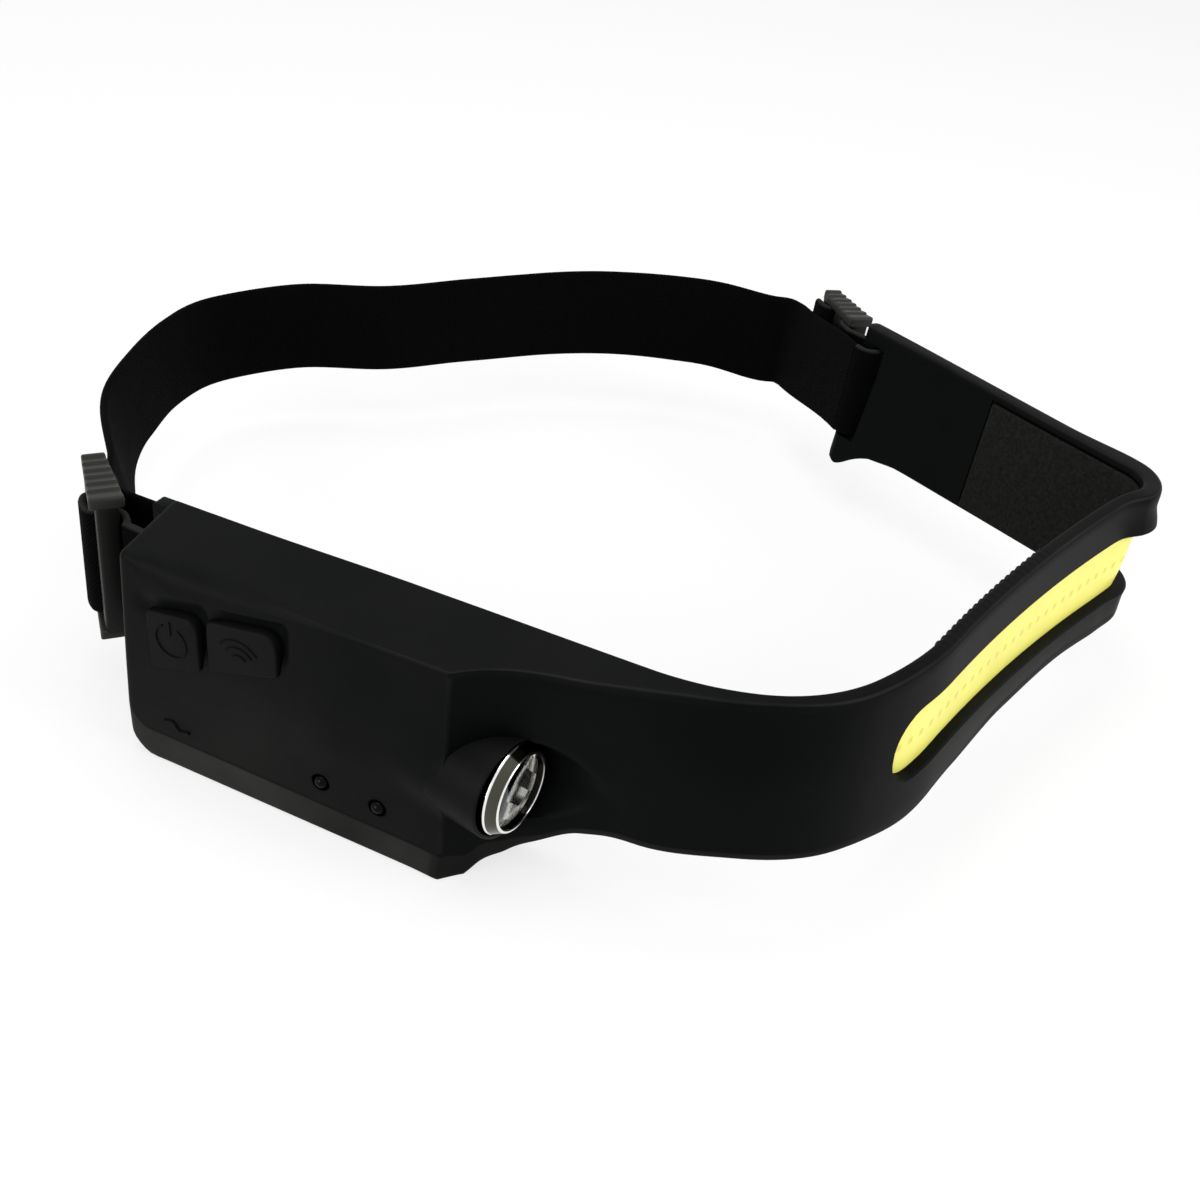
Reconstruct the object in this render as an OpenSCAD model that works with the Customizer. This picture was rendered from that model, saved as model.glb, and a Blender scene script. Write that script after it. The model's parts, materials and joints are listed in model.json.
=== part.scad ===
// Headlamp: a silicone headband with a wide light strip, a battery box with a spot lamp
// at one temple, and an elastic strap round the back of the head on two sliding buckles.
// Millimetres. +X to the wearer's left, +Y to the back of the head, +Z up.
// The origin is at the middle of the bounding box, on the surface that the box stands on.

/* [Headband] */
// Height of the silicone band
band_h = 26; // [24:0.5:28]
// Thickness of the silicone band
band_t = 4.2; // [4.1:0.1:5]
// Length of the front stretch between the two front bends and the temple corner
front_len = 66; // [60:1:75]
// Inside radius of the temple corner
corner_r = 6; // [5:0.5:10]
// Length of the straight side behind the temple corner
side_len = 65; // [62:1:80]
// Spacing of the grip ribs on the inside of the front
rib_pitch = 1.9; // [1.6:0.1:2.4]

/* [Battery box] */
// Length of the box front
box_len = 58; // [57:0.5:66]
// Depth of the box from head to front
box_depth = 14.5; // [14.5:0.5:18]
// Height of the box
box_h = 40; // [39:0.5:44]
// Height of the lower front facet
facet_h = 5.2; // [3:0.2:5.4]
// Distance that the lower front facet leans in
facet_in = 1.6; // [0.8:0.1:2]
// Thickness of the silicone skin in front of the inner case
skin = 2; // [1.6:0.1:2.2]
// Wall of the inner case
case_wall = 1.2; // [1:0.1:1.5]

/* [Keys] */
// Height that the keys stand proud of the box front
key_proud = 1.2; // [0.8:0.1:1.6]
// Travel of a pressed key
key_travel = 0.6; // [0.4:0.1:0.7]

/* [Spot lamp] */
// Diameter of the bezel
bezel_d = 15.4; // [14.6:0.2:15.8]
// Angle between the lamp axis and the box front
lamp_turn = 12.5; // [10:0.5:14]
// Height of the lamp axis
lamp_z = 18.4; // [18:0.2:20]

/* [Wide light strip] */
// Length of the recess for the light strip
strip_len = 106; // [96:1:110]
// Height of the recess
channel_h = 12; // [10:0.2:12.4]
// Depth of the recess
channel_deep = 3.3; // [3:0.1:3.3]
// Spacing of the emitters
chip_pitch = 3; // [2.5:0.25:4]

/* [Strap and buckles] */
// Width of the webbing
strap_w = 20; // [16:1:22]
// Thickness of the webbing
strap_t = 1.4; // [1.1:0.1:1.5]
// Length of a buckle along the strap
buckle_len = 15; // [14:0.5:17]
// Height of the ribbed grip at each end of a buckle
grip_h = 4; // [3.5:0.5:5]
// Free run of the left buckle along the strap
left_slide = 12; // [5:1:16]
// Free run of the right buckle along the strap
right_slide = 6; // [3:1:8]

/* [Fits] */
// Clearance between pieces that are fixed to each other
fit_gap = 0.2; // [0.1:0.05:0.25]
// Clearance between pieces that move past each other
slide_gap = 0.35; // [0.3:0.05:0.4]

/* [Hidden] */
round_fn = 64;
over = 1; // overshoot of a cutting shape
sink = 0.3; // depth that one shape runs into the face of the next
hair = 0.05; // step between two faces that end side by side

// Line of the band's inner face, seen from above, from the left end of the box.
// Each run has a length and a turn to the left in degrees.
box_heading = -21.5;
fillet_len = 23;
lead_len = box_len + fillet_len + 1;
corner_turn = 84;
runs = [[lead_len, 0], [15, 21.5], [19, 42], [18, 17], [front_len, -11],
        [corner_r * corner_turn * PI / 180, corner_turn], [side_len, 0]];

function advance(at, run) =
  let (h = at[3], turn = run[1])
  let (r = turn == 0 ? 0 : run[0] / (turn * PI / 180))
  turn == 0
    ? [at[0] + run[0], at[1] + run[0] * cos(h), at[2] + run[0] * sin(h), h]
    : [at[0] + run[0], at[1] + r * (sin(h + turn) - sin(h)), at[2] + r * (cos(h) - cos(h + turn)), h + turn];

// Station, place and heading at the start of every run, and at the end of the last one
starts = [for (i = 0, at = [0, 0, 0, box_heading];
               i <= len(runs);
               at = i < len(runs) ? advance(at, runs[i]) : at, i = i + 1) at];
band_len = starts[len(runs)][0];
corner_end = starts[6][0];
front_start = starts[4][0];

// Run that holds a station, then the place and heading there
function run_at(s) = s < 0 ? 0 : max([for (i = [0 : len(runs) - 1]) if (starts[i][0] <= s) i]);
function pose_at(s) =
  let (i = run_at(s), d = s - starts[i][0])
  advance(starts[i], [d, runs[i][1] * d / runs[i][0]]);
// Point at a station, at a distance outward from the inner face
function raw_point(s, out) = let (p = pose_at(s)) [p[1] + out * sin(p[3]), p[2] - out * cos(p[3])];

// Stations that a curve needs between two ends: every few degrees and every few millimetres in a bend
turn_step = 5;
flat_step = 6;
function stations(s0, s1) =
  concat([s0],
         [for (i = [0 : len(runs) - 1])
            let (n = runs[i][1] == 0 ? 1 : ceil(max(abs(runs[i][1]) / turn_step, runs[i][0] / flat_step)))
            for (k = [0 : n - 1])
              let (s = starts[i][0] + runs[i][0] * k / n)
              if (s > s0 + 0.01 && s < s1 - 0.01) s],
         [s1]);
function reversed(list) = [for (i = [len(list) - 1 : -1 : 0]) list[i]];
function raw_line(s0, s1, out) = [for (s = stations(s0, s1)) raw_point(s, out)];

// End bars that the strap goes round: one beside the box and one at the end of the side
bar_r = band_t / 2 - 0.3;
left_bar_s = -4;
left_bar_in = 3.9;
left_bar = raw_point(left_bar_s, left_bar_in + band_t / 2);
left_heading = box_heading + 138;
right_bar = raw_point(band_len, band_t / 2);
right_heading = starts[len(runs)][3] - 20;

// Webbing: the inner layer runs beside each end bar, on the head side of the buckles
wrap_r = bar_r + slide_gap + strap_t / 2;
left_start = bar_r + strap_t + 3.5;
right_start = bar_r + strap_t + 1;
straight_spare = 2;
left_straight = left_start + buckle_len + left_slide + straight_spare;
right_straight = right_start + buckle_len + right_slide + straight_spare;
function turned(a, u, v) = [u * cos(a) - v * sin(a), u * sin(a) + v * cos(a)];
function left_place(u, v) = left_bar + turned(left_heading, u, v);
function right_place(u, v) = right_bar + turned(right_heading, u, -v);

// The free run between the straight ends follows points given as fractions of the distance
// between the ends: along the line that joins them, and square to it
free_a = left_place(left_straight, -wrap_r);
free_b = right_place(right_straight, -wrap_r);
free_marks = [[0.035, 0.12], [0.1, 0.212], [0.17, 0.28], [0.25, 0.324], [0.365, 0.32], [0.48, 0.267],
              [0.6, 0.247], [0.72, 0.222], [0.84, 0.168], [0.93, 0.102], [0.98, 0.04]];
free_along = free_b - free_a;
free_across = [-free_along[1], free_along[0]];
knots = concat([left_place(left_straight - 20, -wrap_r), free_a],
               [for (m = free_marks) free_a + m[0] * free_along + m[1] * free_across],
               [free_b, right_place(right_straight - 20, -wrap_r)]);
knot_steps = 6;
function smooth(a, b, c, d, t) =
  b + t * (c - a) / 2 + t * t * (a - 2.5 * b + 2 * c - d / 2) + t * t * t * (1.5 * (b - c) + (d - a) / 2);
free_run = [for (i = [1 : len(knots) - 3]) for (k = [0 : knot_steps - 1])
              smooth(knots[i - 1], knots[i], knots[i + 1], knots[i + 2], k / knot_steps)];
strap_line = concat([left_place(0, -wrap_r), left_place(left_straight / 2, -wrap_r)],
                    free_run,
                    [free_b, right_place(right_straight / 2, -wrap_r), right_place(0, -wrap_r)]);

// A line's point moved sideways, square to its neighbours
function side_point(line, i, d) =
  let (a = line[max(0, i - 1)], b = line[min(len(line) - 1, i + 1)])
  let (t = (b - a) / norm(b - a))
  line[i] + d * [-t[1], t[0]];
function shifted(line, d) = [for (i = [0 : len(line) - 1]) side_point(line, i, d)];
function thick_line(line, t) = concat(shifted(line, t / 2), reversed(shifted(line, -t / 2)));

// Spot lamp: the middle of its front plane, in the box's own directions
bezel_r = bezel_d / 2;
lamp_rim = 0.8;
lamp_s = box_len + 8.6;
lamp_out = bezel_r + 1.6;
barrel_len = 22;

// Middle of the bounding box
strap_outline = thick_line(strap_line, strap_t);
band_outline = raw_line(0, band_len, band_t);
barrel_edge = raw_point(lamp_s - (bezel_r + lamp_rim) * sin(lamp_turn),
                        lamp_out + (bezel_r + lamp_rim) * cos(lamp_turn));
bezel_lip = 0.6;
bezel_front = 3.2; // the ring stands this far out of the barrel, as a cone
bezel_edge = raw_point(lamp_s + bezel_lip * cos(lamp_turn) - bezel_r * sin(lamp_turn),
                       lamp_out + bezel_lip * sin(lamp_turn) + bezel_r * cos(lamp_turn));
edge_x = [for (p = concat(strap_outline, band_outline)) p[0]];
edge_y = concat([for (p = concat(strap_outline, band_outline)) p[1]], [barrel_edge[1], bezel_edge[1]]);
middle = [(min(edge_x) + max(edge_x)) / 2, (min(edge_y) + max(edge_y)) / 2];

// Heights
band_z = box_h - band_h;
channel_z = band_z + 6;
channel_mid = channel_z + channel_h / 2;
left_mid = box_h / 2 + 1.5;
right_mid = box_h / 2 + 4.4;
window_room = 0.5;
window_h = strap_w + 2 * window_room;
foot_z = 10.5;

// Box interior, in the box's own directions
cavity_s0 = 5.4;
cavity_s1 = box_len - 5;
cavity_z0 = 5.5;
cavity_z1 = box_h - 3.5;
cavity_out = box_depth - skin;
cover_t = 2;
cover_edge = 1;
case_front = cavity_out - fit_gap;
board_t = 1;
board_out = case_front - case_wall - 1.5 - board_t;
board_front = board_out + board_t;
post_r = 1.7;
post_bore_r = 0.7;
post_in = 2.4;
post_up = 2.9;
posts = [[cavity_s0 + post_in, cavity_z0 + 10.5], [cavity_s0 + post_in, cavity_z1 - post_up],
         [cavity_s1 - post_in, cavity_z1 - post_up], [cavity_s1 - post_in, cavity_z0 + post_up]];

// Keys: their lower edges climb along a slanting line, their upper edges along a flatter one
key_low = [box_h - 21, 0.33];
key_high = [box_h - 10, 0.19];
key_spans = [[6.4, 16], [17.4, 30]];
key_round = 3;
key_flange = 0.4;
switch_t = 0.8;
function key_edge(edge, s) = edge[0] + edge[1] * (s - key_spans[0][0]);

// Sensor domes
dome_r = 1.5;
dome_places = [[box_len - 21, 9.5], [box_len - 11, 9]];

// Charging socket and its flap in the floor of the box
socket_s = 11.8;
socket_w = 9;
socket_h = 3.2;
socket_len = 7.3;
socket_wall = 0.3;
socket_out = board_out - socket_h / 2 - 0.1;
socket_z = 2.1;
flap_w = 11.4;
flap_t = 1.2;
flap_z = 0.4;
hinge_r = 0.6;
hinge_out = socket_out - 2.4;
flap_reach = 5;

// Temple pad
pad_len = 31;
pad_s0 = corner_end + 0.5;
pad_deep = 0.3;
pad_t = 0.9;
pad_rim = 1.4;

// Light strip
strip_s0 = front_start - 14;
strip_out = band_t - channel_deep;
strip_end_r = channel_h / 2;
board_film = 0.25;
chip_w = 1.3;
chip_t = 0.3;
phosphor_t = 0.45;
tail_h = 2.2;
tail_z = channel_mid - tail_h / 2;
tail_s0 = cavity_s1 - 3;
tail_s1 = strip_s0 + 2.5;
tail_ramp = [cavity_s1 + 3, cavity_s1 + 12];

// Everything is drawn from the left end of the box and then moved to the origin
module in_frame() { translate([-middle[0], -middle[1], 0]) children(); }

// Box directions: x along the box, -y outward, z up
module on_box() { in_frame() rotate([0, 0, box_heading]) children(); }

// Side directions: x along the straight side, -y outward, z up
module on_side() {
  in_frame() translate([starts[6][1], starts[6][2], 0]) rotate([0, 0, starts[6][3]]) children();
}

// Lamp directions: z along the lamp axis, zero at the front plane of the barrel
module on_lamp() {
  on_box() translate([lamp_s, -lamp_out, lamp_z]) rotate([0, 0, -lamp_turn]) rotate([0, 90, 0]) children();
}

// Strap directions at an end bar: x along the strap, y outward, z up
module on_left_bar() {
  in_frame() translate([left_bar[0], left_bar[1], 0]) rotate([0, 0, left_heading]) children();
}
module on_right_bar() {
  in_frame() translate([right_bar[0], right_bar[1], 0]) rotate([0, 0, right_heading])
    mirror([0, 1, 0]) children();
}

// Upright plate along the band's line, between two stations and two distances outward
module ribbon(s0, s1, out0, out1, z0, z1) {
  in_frame() translate([0, 0, z0]) linear_extrude(z1 - z0)
    polygon(concat(raw_line(s0, s1, out0), reversed(raw_line(s0, s1, out1))));
}

// Tail of the light strip: in front of the rear cover, then down to the floor of the recess
module tail_ribbon(s0, s1, room) {
  function tail_out(s) =
    let (t = min(1, max(0, (s - tail_ramp[0]) / (tail_ramp[1] - tail_ramp[0]))))
    (1 - t) * (cover_t + 2 * fit_gap) + t * (strip_out + 0.05);
  marks = concat([s0, tail_ramp[0]], stations(tail_ramp[1], s1));
  low = [for (s = marks) raw_point(s, tail_out(s) - room)];
  high = [for (s = marks) raw_point(s, tail_out(s) + board_film + room)];
  in_frame() translate([0, 0, tail_z - room]) linear_extrude(tail_h + 2 * room)
    polygon(concat(low, reversed(high)));
}

// Disc whose axis points outward at a station
module outward_disc(s, r, out0, out1, z) {
  p = pose_at(s);
  in_frame() translate([p[1], p[2], z]) rotate([0, 0, p[3]]) translate([0, -out0, 0]) rotate([90, 0, 0])
    cylinder(r = r, h = out1 - out0, $fn = round_fn);
}

// Recess shape along the band's line, with round ends that are a little less high than the run between
module long_slot(s0, s1, out0, out1, mid, r) {
  end_r = r - sink / 2;
  ribbon(s0 + r, s1 - r, out0, out1, mid - r, mid + r);
  for (s = [s0 + r, s1 - r]) outward_disc(s, end_r, out0, out1, mid);
}

// Box-shaped block in box or side directions, given by its ranges
module block(s0, s1, out0, out1, z0, z1) {
  translate([s0, -out1, z0]) cube([s1 - s0, out1 - out0, z1 - z0]);
}

// Outline drawn on the box front, pushed between two distances outward
module outward(out0, out1) {
  translate([0, -out0, 0]) rotate([90, 0, 0]) linear_extrude(out1 - out0) children();
}
module bore(s, z, r, out0, out1) { outward(out0, out1) translate([s, z]) circle(r = r, $fn = round_fn); }

// Box body: plan outline with the hollow end that runs into the band
module box_plan() {
  fillet_in = box_depth - band_t + hair;
  fillet_r = (fillet_len ^ 2 + fillet_in ^ 2) / (2 * fillet_in);
  end = box_len + fillet_len;
  left_in = 3.5;
  left_out = 1.5;
  difference() {
    polygon([[left_in, hair], [left_out, -box_depth], [end, -box_depth], [end, hair]]);
    translate([end, fillet_in - box_depth - fillet_r]) circle(r = fillet_r, $fn = 2 * round_fn);
  }
}

module box_body() {
  end = box_len + fillet_len;
  rise_len = fillet_len - 2;
  rise = band_z + hair;
  rise_r = (rise_len ^ 2 + rise ^ 2) / (2 * rise);
  top_drop = 1.6;
  top_slope = atan(top_drop / (box_depth - band_t));
  difference() {
    linear_extrude(box_h - hair) box_plan();
    // Hollow rise from the floor of the box to the lower edge of the band
    translate([end, over, rise - rise_r]) rotate([90, 0, 0])
      cylinder(r = rise_r, h = box_depth + 2 * over, $fn = 2 * round_fn);
    // Lower front facet
    translate([-over, -box_depth, facet_h]) rotate([-atan(facet_h / facet_in), 0, 0])
      translate([0, -over, -4 * facet_h]) cube([end + 2 * over, 8 * facet_h, 4 * facet_h]);
    // Upper face that falls towards the front
    translate([-over, -band_t - sink, box_h]) rotate([top_slope, 0, 0]) translate([0, -2 * box_depth, 0])
      cube([end + 2 * over, 2 * box_depth, box_depth]);
    // Facet at the upper back corner of the left end
    translate([0, 0, box_h]) rotate([0, 0, -8]) rotate([0, 40, 0]) translate([-20, -box_depth, -over])
      cube([20 + 3, box_depth + 4, 20]);
  }
}

// Silicone round the lamp, kept on the outer side of the band's inner face
module barrel() {
  intersection() {
    on_lamp() translate([0, 0, -barrel_len]) cylinder(r = bezel_r + lamp_rim, h = barrel_len, $fn = round_fn);
    on_box() block(0, lamp_s + bezel_d, 0.5, box_depth + bezel_d, 0, box_h);
  }
}

// Lugs and end bar beside the box
module left_lugs() {
  lug_h = 4.5;
  low = left_mid - window_h / 2 - lug_h;
  for (z = [low, left_mid + window_h / 2])
    on_box() block(left_bar_s, 4, left_bar_in + 2 * sink, left_bar_in + band_t - 2 * sink, z, z + lug_h);
  on_left_bar() translate([0, 0, low]) cylinder(r = bar_r, h = window_h + 2 * lug_h, $fn = round_fn);
}

// Taller end of the straight side, with the end bar
module side_end() {
  flare = 16;
  flare_s = side_len - flare;
  drop = band_z + sink - foot_z;
  flare_r = (flare ^ 2 + drop ^ 2) / (2 * drop);
  on_side() difference() {
    block(flare_s, side_len - hair, hair, band_t - hair, foot_z, band_z + over);
    translate([flare_s, over, band_z + sink - flare_r]) rotate([90, 0, 0])
      cylinder(r = flare_r, h = band_t + 2 * over, $fn = round_fn);
  }
  // Round end, a little thicker than the bar
  on_right_bar() translate([0, 0, foot_z])
    cylinder(r = bar_r + 0.2, h = box_h - foot_z, $fn = round_fn);
}

// Upright grip ribs on the inside of the front: a wavy plate
module grip_ribs() {
  s0 = front_start - 4;
  count = floor((front_len - 4) / rib_pitch);
  rib_deep = 0.7;
  quarter = rib_pitch / 4;
  function rib_out(k) = sink - (rib_deep + sink) * (1 - cos(k * 90)) / 2;
  wave = [for (k = [0 : 4 * count]) raw_point(s0 + k * quarter, rib_out(k))];
  back = reversed([for (k = [0 : 4 * count]) raw_point(s0 + k * quarter, 0.8)]);
  in_frame() translate([0, 0, band_z]) linear_extrude(band_h) polygon(concat(wave, back));
}

// Hollow for the lamp pieces, turned about the lamp axis, with the scoop in front of it
module lamp_hollow() {
  on_lamp() rotate_extrude($fn = round_fn)
    polygon([[0, -12.1], [5.3, -12.1], [5.3, -10], [bezel_r - 0.7, -4], [bezel_r + 0.1, -3.2],
             [bezel_r + 0.1, 30], [0, 30]]);
}

// Passage for the lamp's leads, from the case to the back of the lamp
lead_z = lamp_z;
lead_out = lamp_out - 12 * sin(lamp_turn);
module lead_passage(r) {
  on_box() translate([cavity_s1 - 4, -lead_out, lead_z]) rotate([0, 90, 0]) cylinder(r = r, h = 7, $fn = 32);
}

module key_outline(span) {
  s0 = span[0];
  s1 = span[1];
  difference() {
    polygon([[s0, key_edge(key_low, s0)], [s1, key_edge(key_low, s1)],
             [s1, key_edge(key_high, s1)], [s0, key_edge(key_high, s0)]]);
    // Round upper corner on the lamp side
    translate([s1 - key_round, key_edge(key_high, s1) - key_round - 0.4]) difference() {
      square([key_round + over, key_round + over]);
      circle(r = key_round, $fn = round_fn);
    }
  }
}
module key_hole(span, room) {
  s0 = span[0] - room;
  s1 = span[1] + room;
  polygon([[s0, key_edge(key_low, s0) - room], [s1, key_edge(key_low, s1) - room],
           [s1, key_edge(key_high, s1) + room], [s0, key_edge(key_high, s0) + room]]);
}

module headband() {
  color([0.13, 0.13, 0.12]) difference() {
    union() {
      ribbon(box_len + fillet_len - 4, band_len, 0, band_t, band_z, box_h);
      grip_ribs();
      on_box() box_body();
      barrel();
      left_lugs();
      side_end();
    }
    lamp_hollow();
    lead_passage(1.6);
    on_box() {
      block(cavity_s0, cavity_s1, -over, cavity_out, cavity_z0, cavity_z1);
      // Ledge for the rear cover
      block(cavity_s0 - cover_edge - fit_gap, cavity_s1 + cover_edge + fit_gap, -over, cover_t + fit_gap,
            cavity_z0 - cover_edge - fit_gap, cavity_z1 + cover_edge + fit_gap);
      for (span = key_spans) outward(cavity_out - over, box_depth + over) key_hole(span, slide_gap);
      for (p = dome_places) bore(p[0], p[1], dome_r + fit_gap / 2, cavity_out - over, box_depth + over);
      // Opening for the charging socket, and the recess for its flap
      block(socket_s - socket_w / 2 - fit_gap, socket_s + socket_w / 2 + fit_gap,
            socket_out - socket_h / 2 - fit_gap, socket_out + socket_h / 2 + fit_gap,
            -over, cavity_z0 + over);
      block(socket_s - flap_w / 2 - slide_gap, socket_s + flap_w / 2 + slide_gap,
            hinge_out - hinge_r - slide_gap, hinge_out + flap_reach + slide_gap,
            -over, flap_z + flap_t + slide_gap);
    }
    long_slot(strip_s0, strip_s0 + strip_len, strip_out, band_t + over, channel_mid, strip_end_r);
    // Passage for the tail of the light strip
    tail_ribbon(cavity_s1 - over, tail_s1, fit_gap / 2);
    ribbon(pad_s0, pad_s0 + pad_len, -over, pad_deep, band_z + pad_rim, box_h - pad_rim);
    // Window for the strap round the end bar
    difference() {
      on_side() block(side_len - bar_r - 3.4, side_len + band_t, -over, band_t + over,
                      right_mid - window_h / 2, right_mid + window_h / 2);
      on_right_bar() cylinder(r = bar_r, h = box_h + over, $fn = round_fn);
    }
  }
}

module temple_pad() {
  color([0.12, 0.12, 0.11])
    ribbon(pad_s0 + 0.5, pad_s0 + pad_len - 0.5, pad_deep - pad_t, pad_deep,
           band_z + pad_rim + 0.5, box_h - pad_rim - 0.5);
}

module inner_case() {
  s0 = cavity_s0 + fit_gap;
  s1 = cavity_s1 - fit_gap;
  z0 = cavity_z0 + fit_gap;
  z1 = cavity_z1 - fit_gap;
  color([0.2, 0.2, 0.2]) difference() {
    union() {
      on_box() difference() {
        block(s0, s1, cover_t + fit_gap, case_front, z0, z1);
        block(s0 + case_wall, s1 - case_wall, 0, case_front - case_wall, z0 + case_wall, z1 - case_wall);
      }
      on_box() intersection() {
        for (p = posts) bore(p[0], p[1], post_r, cover_t + fit_gap, case_front - case_wall / 2);
        block(s0, s1, 0, case_front, z0, z1);
      }
    }
    on_box() {
      for (p = posts) bore(p[0], p[1], post_bore_r, 0, case_front - case_wall);
      for (span = key_spans)
        outward(case_front - case_wall - over, case_front + over) key_hole(span, key_flange + slide_gap);
      for (p = dome_places)
        bore(p[0], p[1], dome_r + fit_gap / 2, case_front - case_wall - over, case_front + over);
      block(socket_s - socket_w / 2 - fit_gap, socket_s + socket_w / 2 + fit_gap,
            socket_out - socket_h / 2 - fit_gap, socket_out + socket_h / 2 + fit_gap,
            cavity_z0 - over, cavity_z0 + case_wall + over);
    }
    lead_passage(1.6);
    // Slot for the tail of the light strip
    tail_ribbon(cavity_s1 - 2 * case_wall, tail_ramp[1] + over, fit_gap);
  }
}

module rear_cover() {
  color([0.16, 0.16, 0.16]) on_box() difference() {
    block(cavity_s0 - cover_edge, cavity_s1 + cover_edge, 0.1, cover_t,
          cavity_z0 - cover_edge, cavity_z1 + cover_edge);
    for (p = posts) {
      bore(p[0], p[1], 0.95, 0, cover_t + over);
      bore(p[0], p[1], 1.7, 0, 1.2);
    }
  }
}

// Self-tapping screw from the head side, with a cross recess
module cover_screw(i) {
  p = posts[i];
  color([0.55, 0.55, 0.57]) on_box() difference() {
    union() {
      bore(p[0], p[1], 1.5, 0.2, 1.2);
      bore(p[0], p[1], post_bore_r, 1.2, 7);
    }
    for (a = [0, 90]) translate([p[0], 0, p[1]]) rotate([0, a, 0]) translate([-1, -0.7, -0.2])
      cube([2, 0.7, 0.4]);
  }
}

battery_s = [20, cavity_s1 - 5];
battery_z = [cavity_z0 + 6, cavity_z1 - 3];
battery_out = [cover_t + 0.8, board_out - 0.6];
module battery() {
  color([0.75, 0.75, 0.78]) on_box()
    block(battery_s[0], battery_s[1], battery_out[0], battery_out[1], battery_z[0], battery_z[1]);
}

// Closed skin over a row of rings that all have the same number of corners
module skin_over(rings) {
  n = len(rings[0]);
  last = len(rings) - 1;
  function corner(i, k) = i * n + k % n;
  walls = [for (i = [0 : last - 1]) for (k = [0 : n - 1]) for (half = [0, 1])
             half == 0 ? [corner(i, k), corner(i, k + 1), corner(i + 1, k)]
                       : [corner(i, k + 1), corner(i + 1, k + 1), corner(i + 1, k)]];
  near_end = [for (k = [1 : n - 2]) [corner(0, 0), corner(0, k + 1), corner(0, k)]];
  far_end = [for (k = [1 : n - 2]) [corner(last, 0), corner(last, k), corner(last, k + 1)]];
  polyhedron([for (ring = rings) for (p = ring) p], concat(walls, near_end, far_end));
}

// Round wire in a level route: a ring of sides at each point, mitred between its runs
wire_sides = 8;
function level_normal(a, b) = let (d = (b - a) / norm(b - a)) [-d[1], d[0], 0];
function wire_mitre(points, i) =
  let (last = len(points) - 1)
  let (m = level_normal(points[max(0, i - 1)], points[max(1, i)]))
  let (n = level_normal(points[min(last - 1, i)], points[min(last, i + 1)]))
  (m + n) / (1 + m * n);
module wire(points, r) {
  skin_over([for (i = [0 : len(points) - 1])
               let (m = wire_mitre(points, i))
               [for (k = [0 : wire_sides - 1])
                  let (a = 360 * k / wire_sides)
                  points[i] + r * (cos(a) * m + sin(a) * [0, 0, 1])]]);
}

wire_r = 0.5;
module battery_leads() {
  mid = -(battery_out[0] + battery_out[1]) / 2;
  color([0.6, 0.1, 0.1]) on_box() for (k = [0, 1]) {
    z = battery_z[1] - 3 - 4 * k;
    wire([[battery_s[0] - 0.1, mid, z], [battery_s[0] - 3 - k, mid, z],
          [battery_s[0] - 3 - k, -board_out + 0.1, z]], wire_r);
  }
}

module main_board() {
  color([0.1, 0.3, 0.18]) on_box() difference() {
    block(cavity_s0 + 4.6, cavity_s1 - 4.6, board_out, board_front, cavity_z0 + 2, cavity_z1 - 2);
    // Holes for the legs of the sensor domes
    for (p = dome_places) bore(p[0], p[1], 0.5, board_out - over, board_front + over);
  }
}

module tact_switch(span) {
  s = (span[0] + span[1]) / 2;
  z = (key_edge(key_low, s) + key_edge(key_high, s)) / 2;
  body = 4.5;
  on_box() {
    block(s - body / 2, s + body / 2, board_front, board_front + switch_t - 0.3, z - body / 2, z + body / 2);
    bore(s, z, 1.2, board_front + switch_t - 0.3, board_front + switch_t);
  }
}
module power_switch() { color([0.7, 0.7, 0.7]) tact_switch(key_spans[0]); }
module sensor_switch() { color([0.7, 0.7, 0.7]) tact_switch(key_spans[1]); }

// Key: cap through the skin, flange behind it and a plunger over the switch
module key(span) {
  s = (span[0] + span[1]) / 2;
  z = (key_edge(key_low, s) + key_edge(key_high, s)) / 2;
  plunger_end = board_front + switch_t + key_travel + 0.05;
  on_box() {
    outward(case_front - 0.8, box_depth + key_proud) key_outline(span);
    outward(case_front - 0.8, case_front) key_hole(span, key_flange);
    bore(s, z, 1.6, plunger_end, case_front);
  }
}
module power_button() { color([0.17, 0.17, 0.16]) key(key_spans[0]); }
module sensor_button() { color([0.17, 0.17, 0.16]) key(key_spans[1]); }

// Dark dome on two legs, looking out through the skin
module sensor_dome(p) {
  on_box() intersection() {
    union() {
      bore(p[0], p[1], dome_r, board_front + 0.1, box_depth - 0.4);
      translate([p[0], -box_depth + 0.4, p[1]]) sphere(r = dome_r, $fn = round_fn);
      bore(p[0], p[1], 0.4, board_out - 0.4, board_front + 0.2);
    }
    block(p[0] - 2, p[0] + 2, board_out - over, box_depth + 0.8, p[1] - 2, p[1] + 2);
  }
}
module ir_emitter() { color([0.05, 0.04, 0.06]) sensor_dome(dome_places[0]); }
module ir_receiver() { color([0.05, 0.04, 0.06]) sensor_dome(dome_places[1]); }

// Rounded socket outline, seen from below
module socket_outline(shrink) {
  r = socket_h / 2 - shrink;
  half = socket_w / 2 - socket_h / 2;
  for (x = [-half, half]) translate([x, 0]) circle(r = r, $fn = 48);
  square([2 * half, 2 * r], center = true);
}
module charge_socket() {
  tongue = [6.2, 0.7, 4.5];
  color([0.7, 0.7, 0.72]) on_box() translate([socket_s, -socket_out, socket_z]) {
    difference() {
      linear_extrude(socket_len) socket_outline(0);
      translate([0, 0, -over]) linear_extrude(socket_len - 1 + over) socket_outline(socket_wall);
    }
    translate([-tongue[0] / 2, -tongue[1] / 2, socket_len - 1.2 - tongue[2]]) cube(tongue + [0, 0, 0.4]);
  }
}

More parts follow.
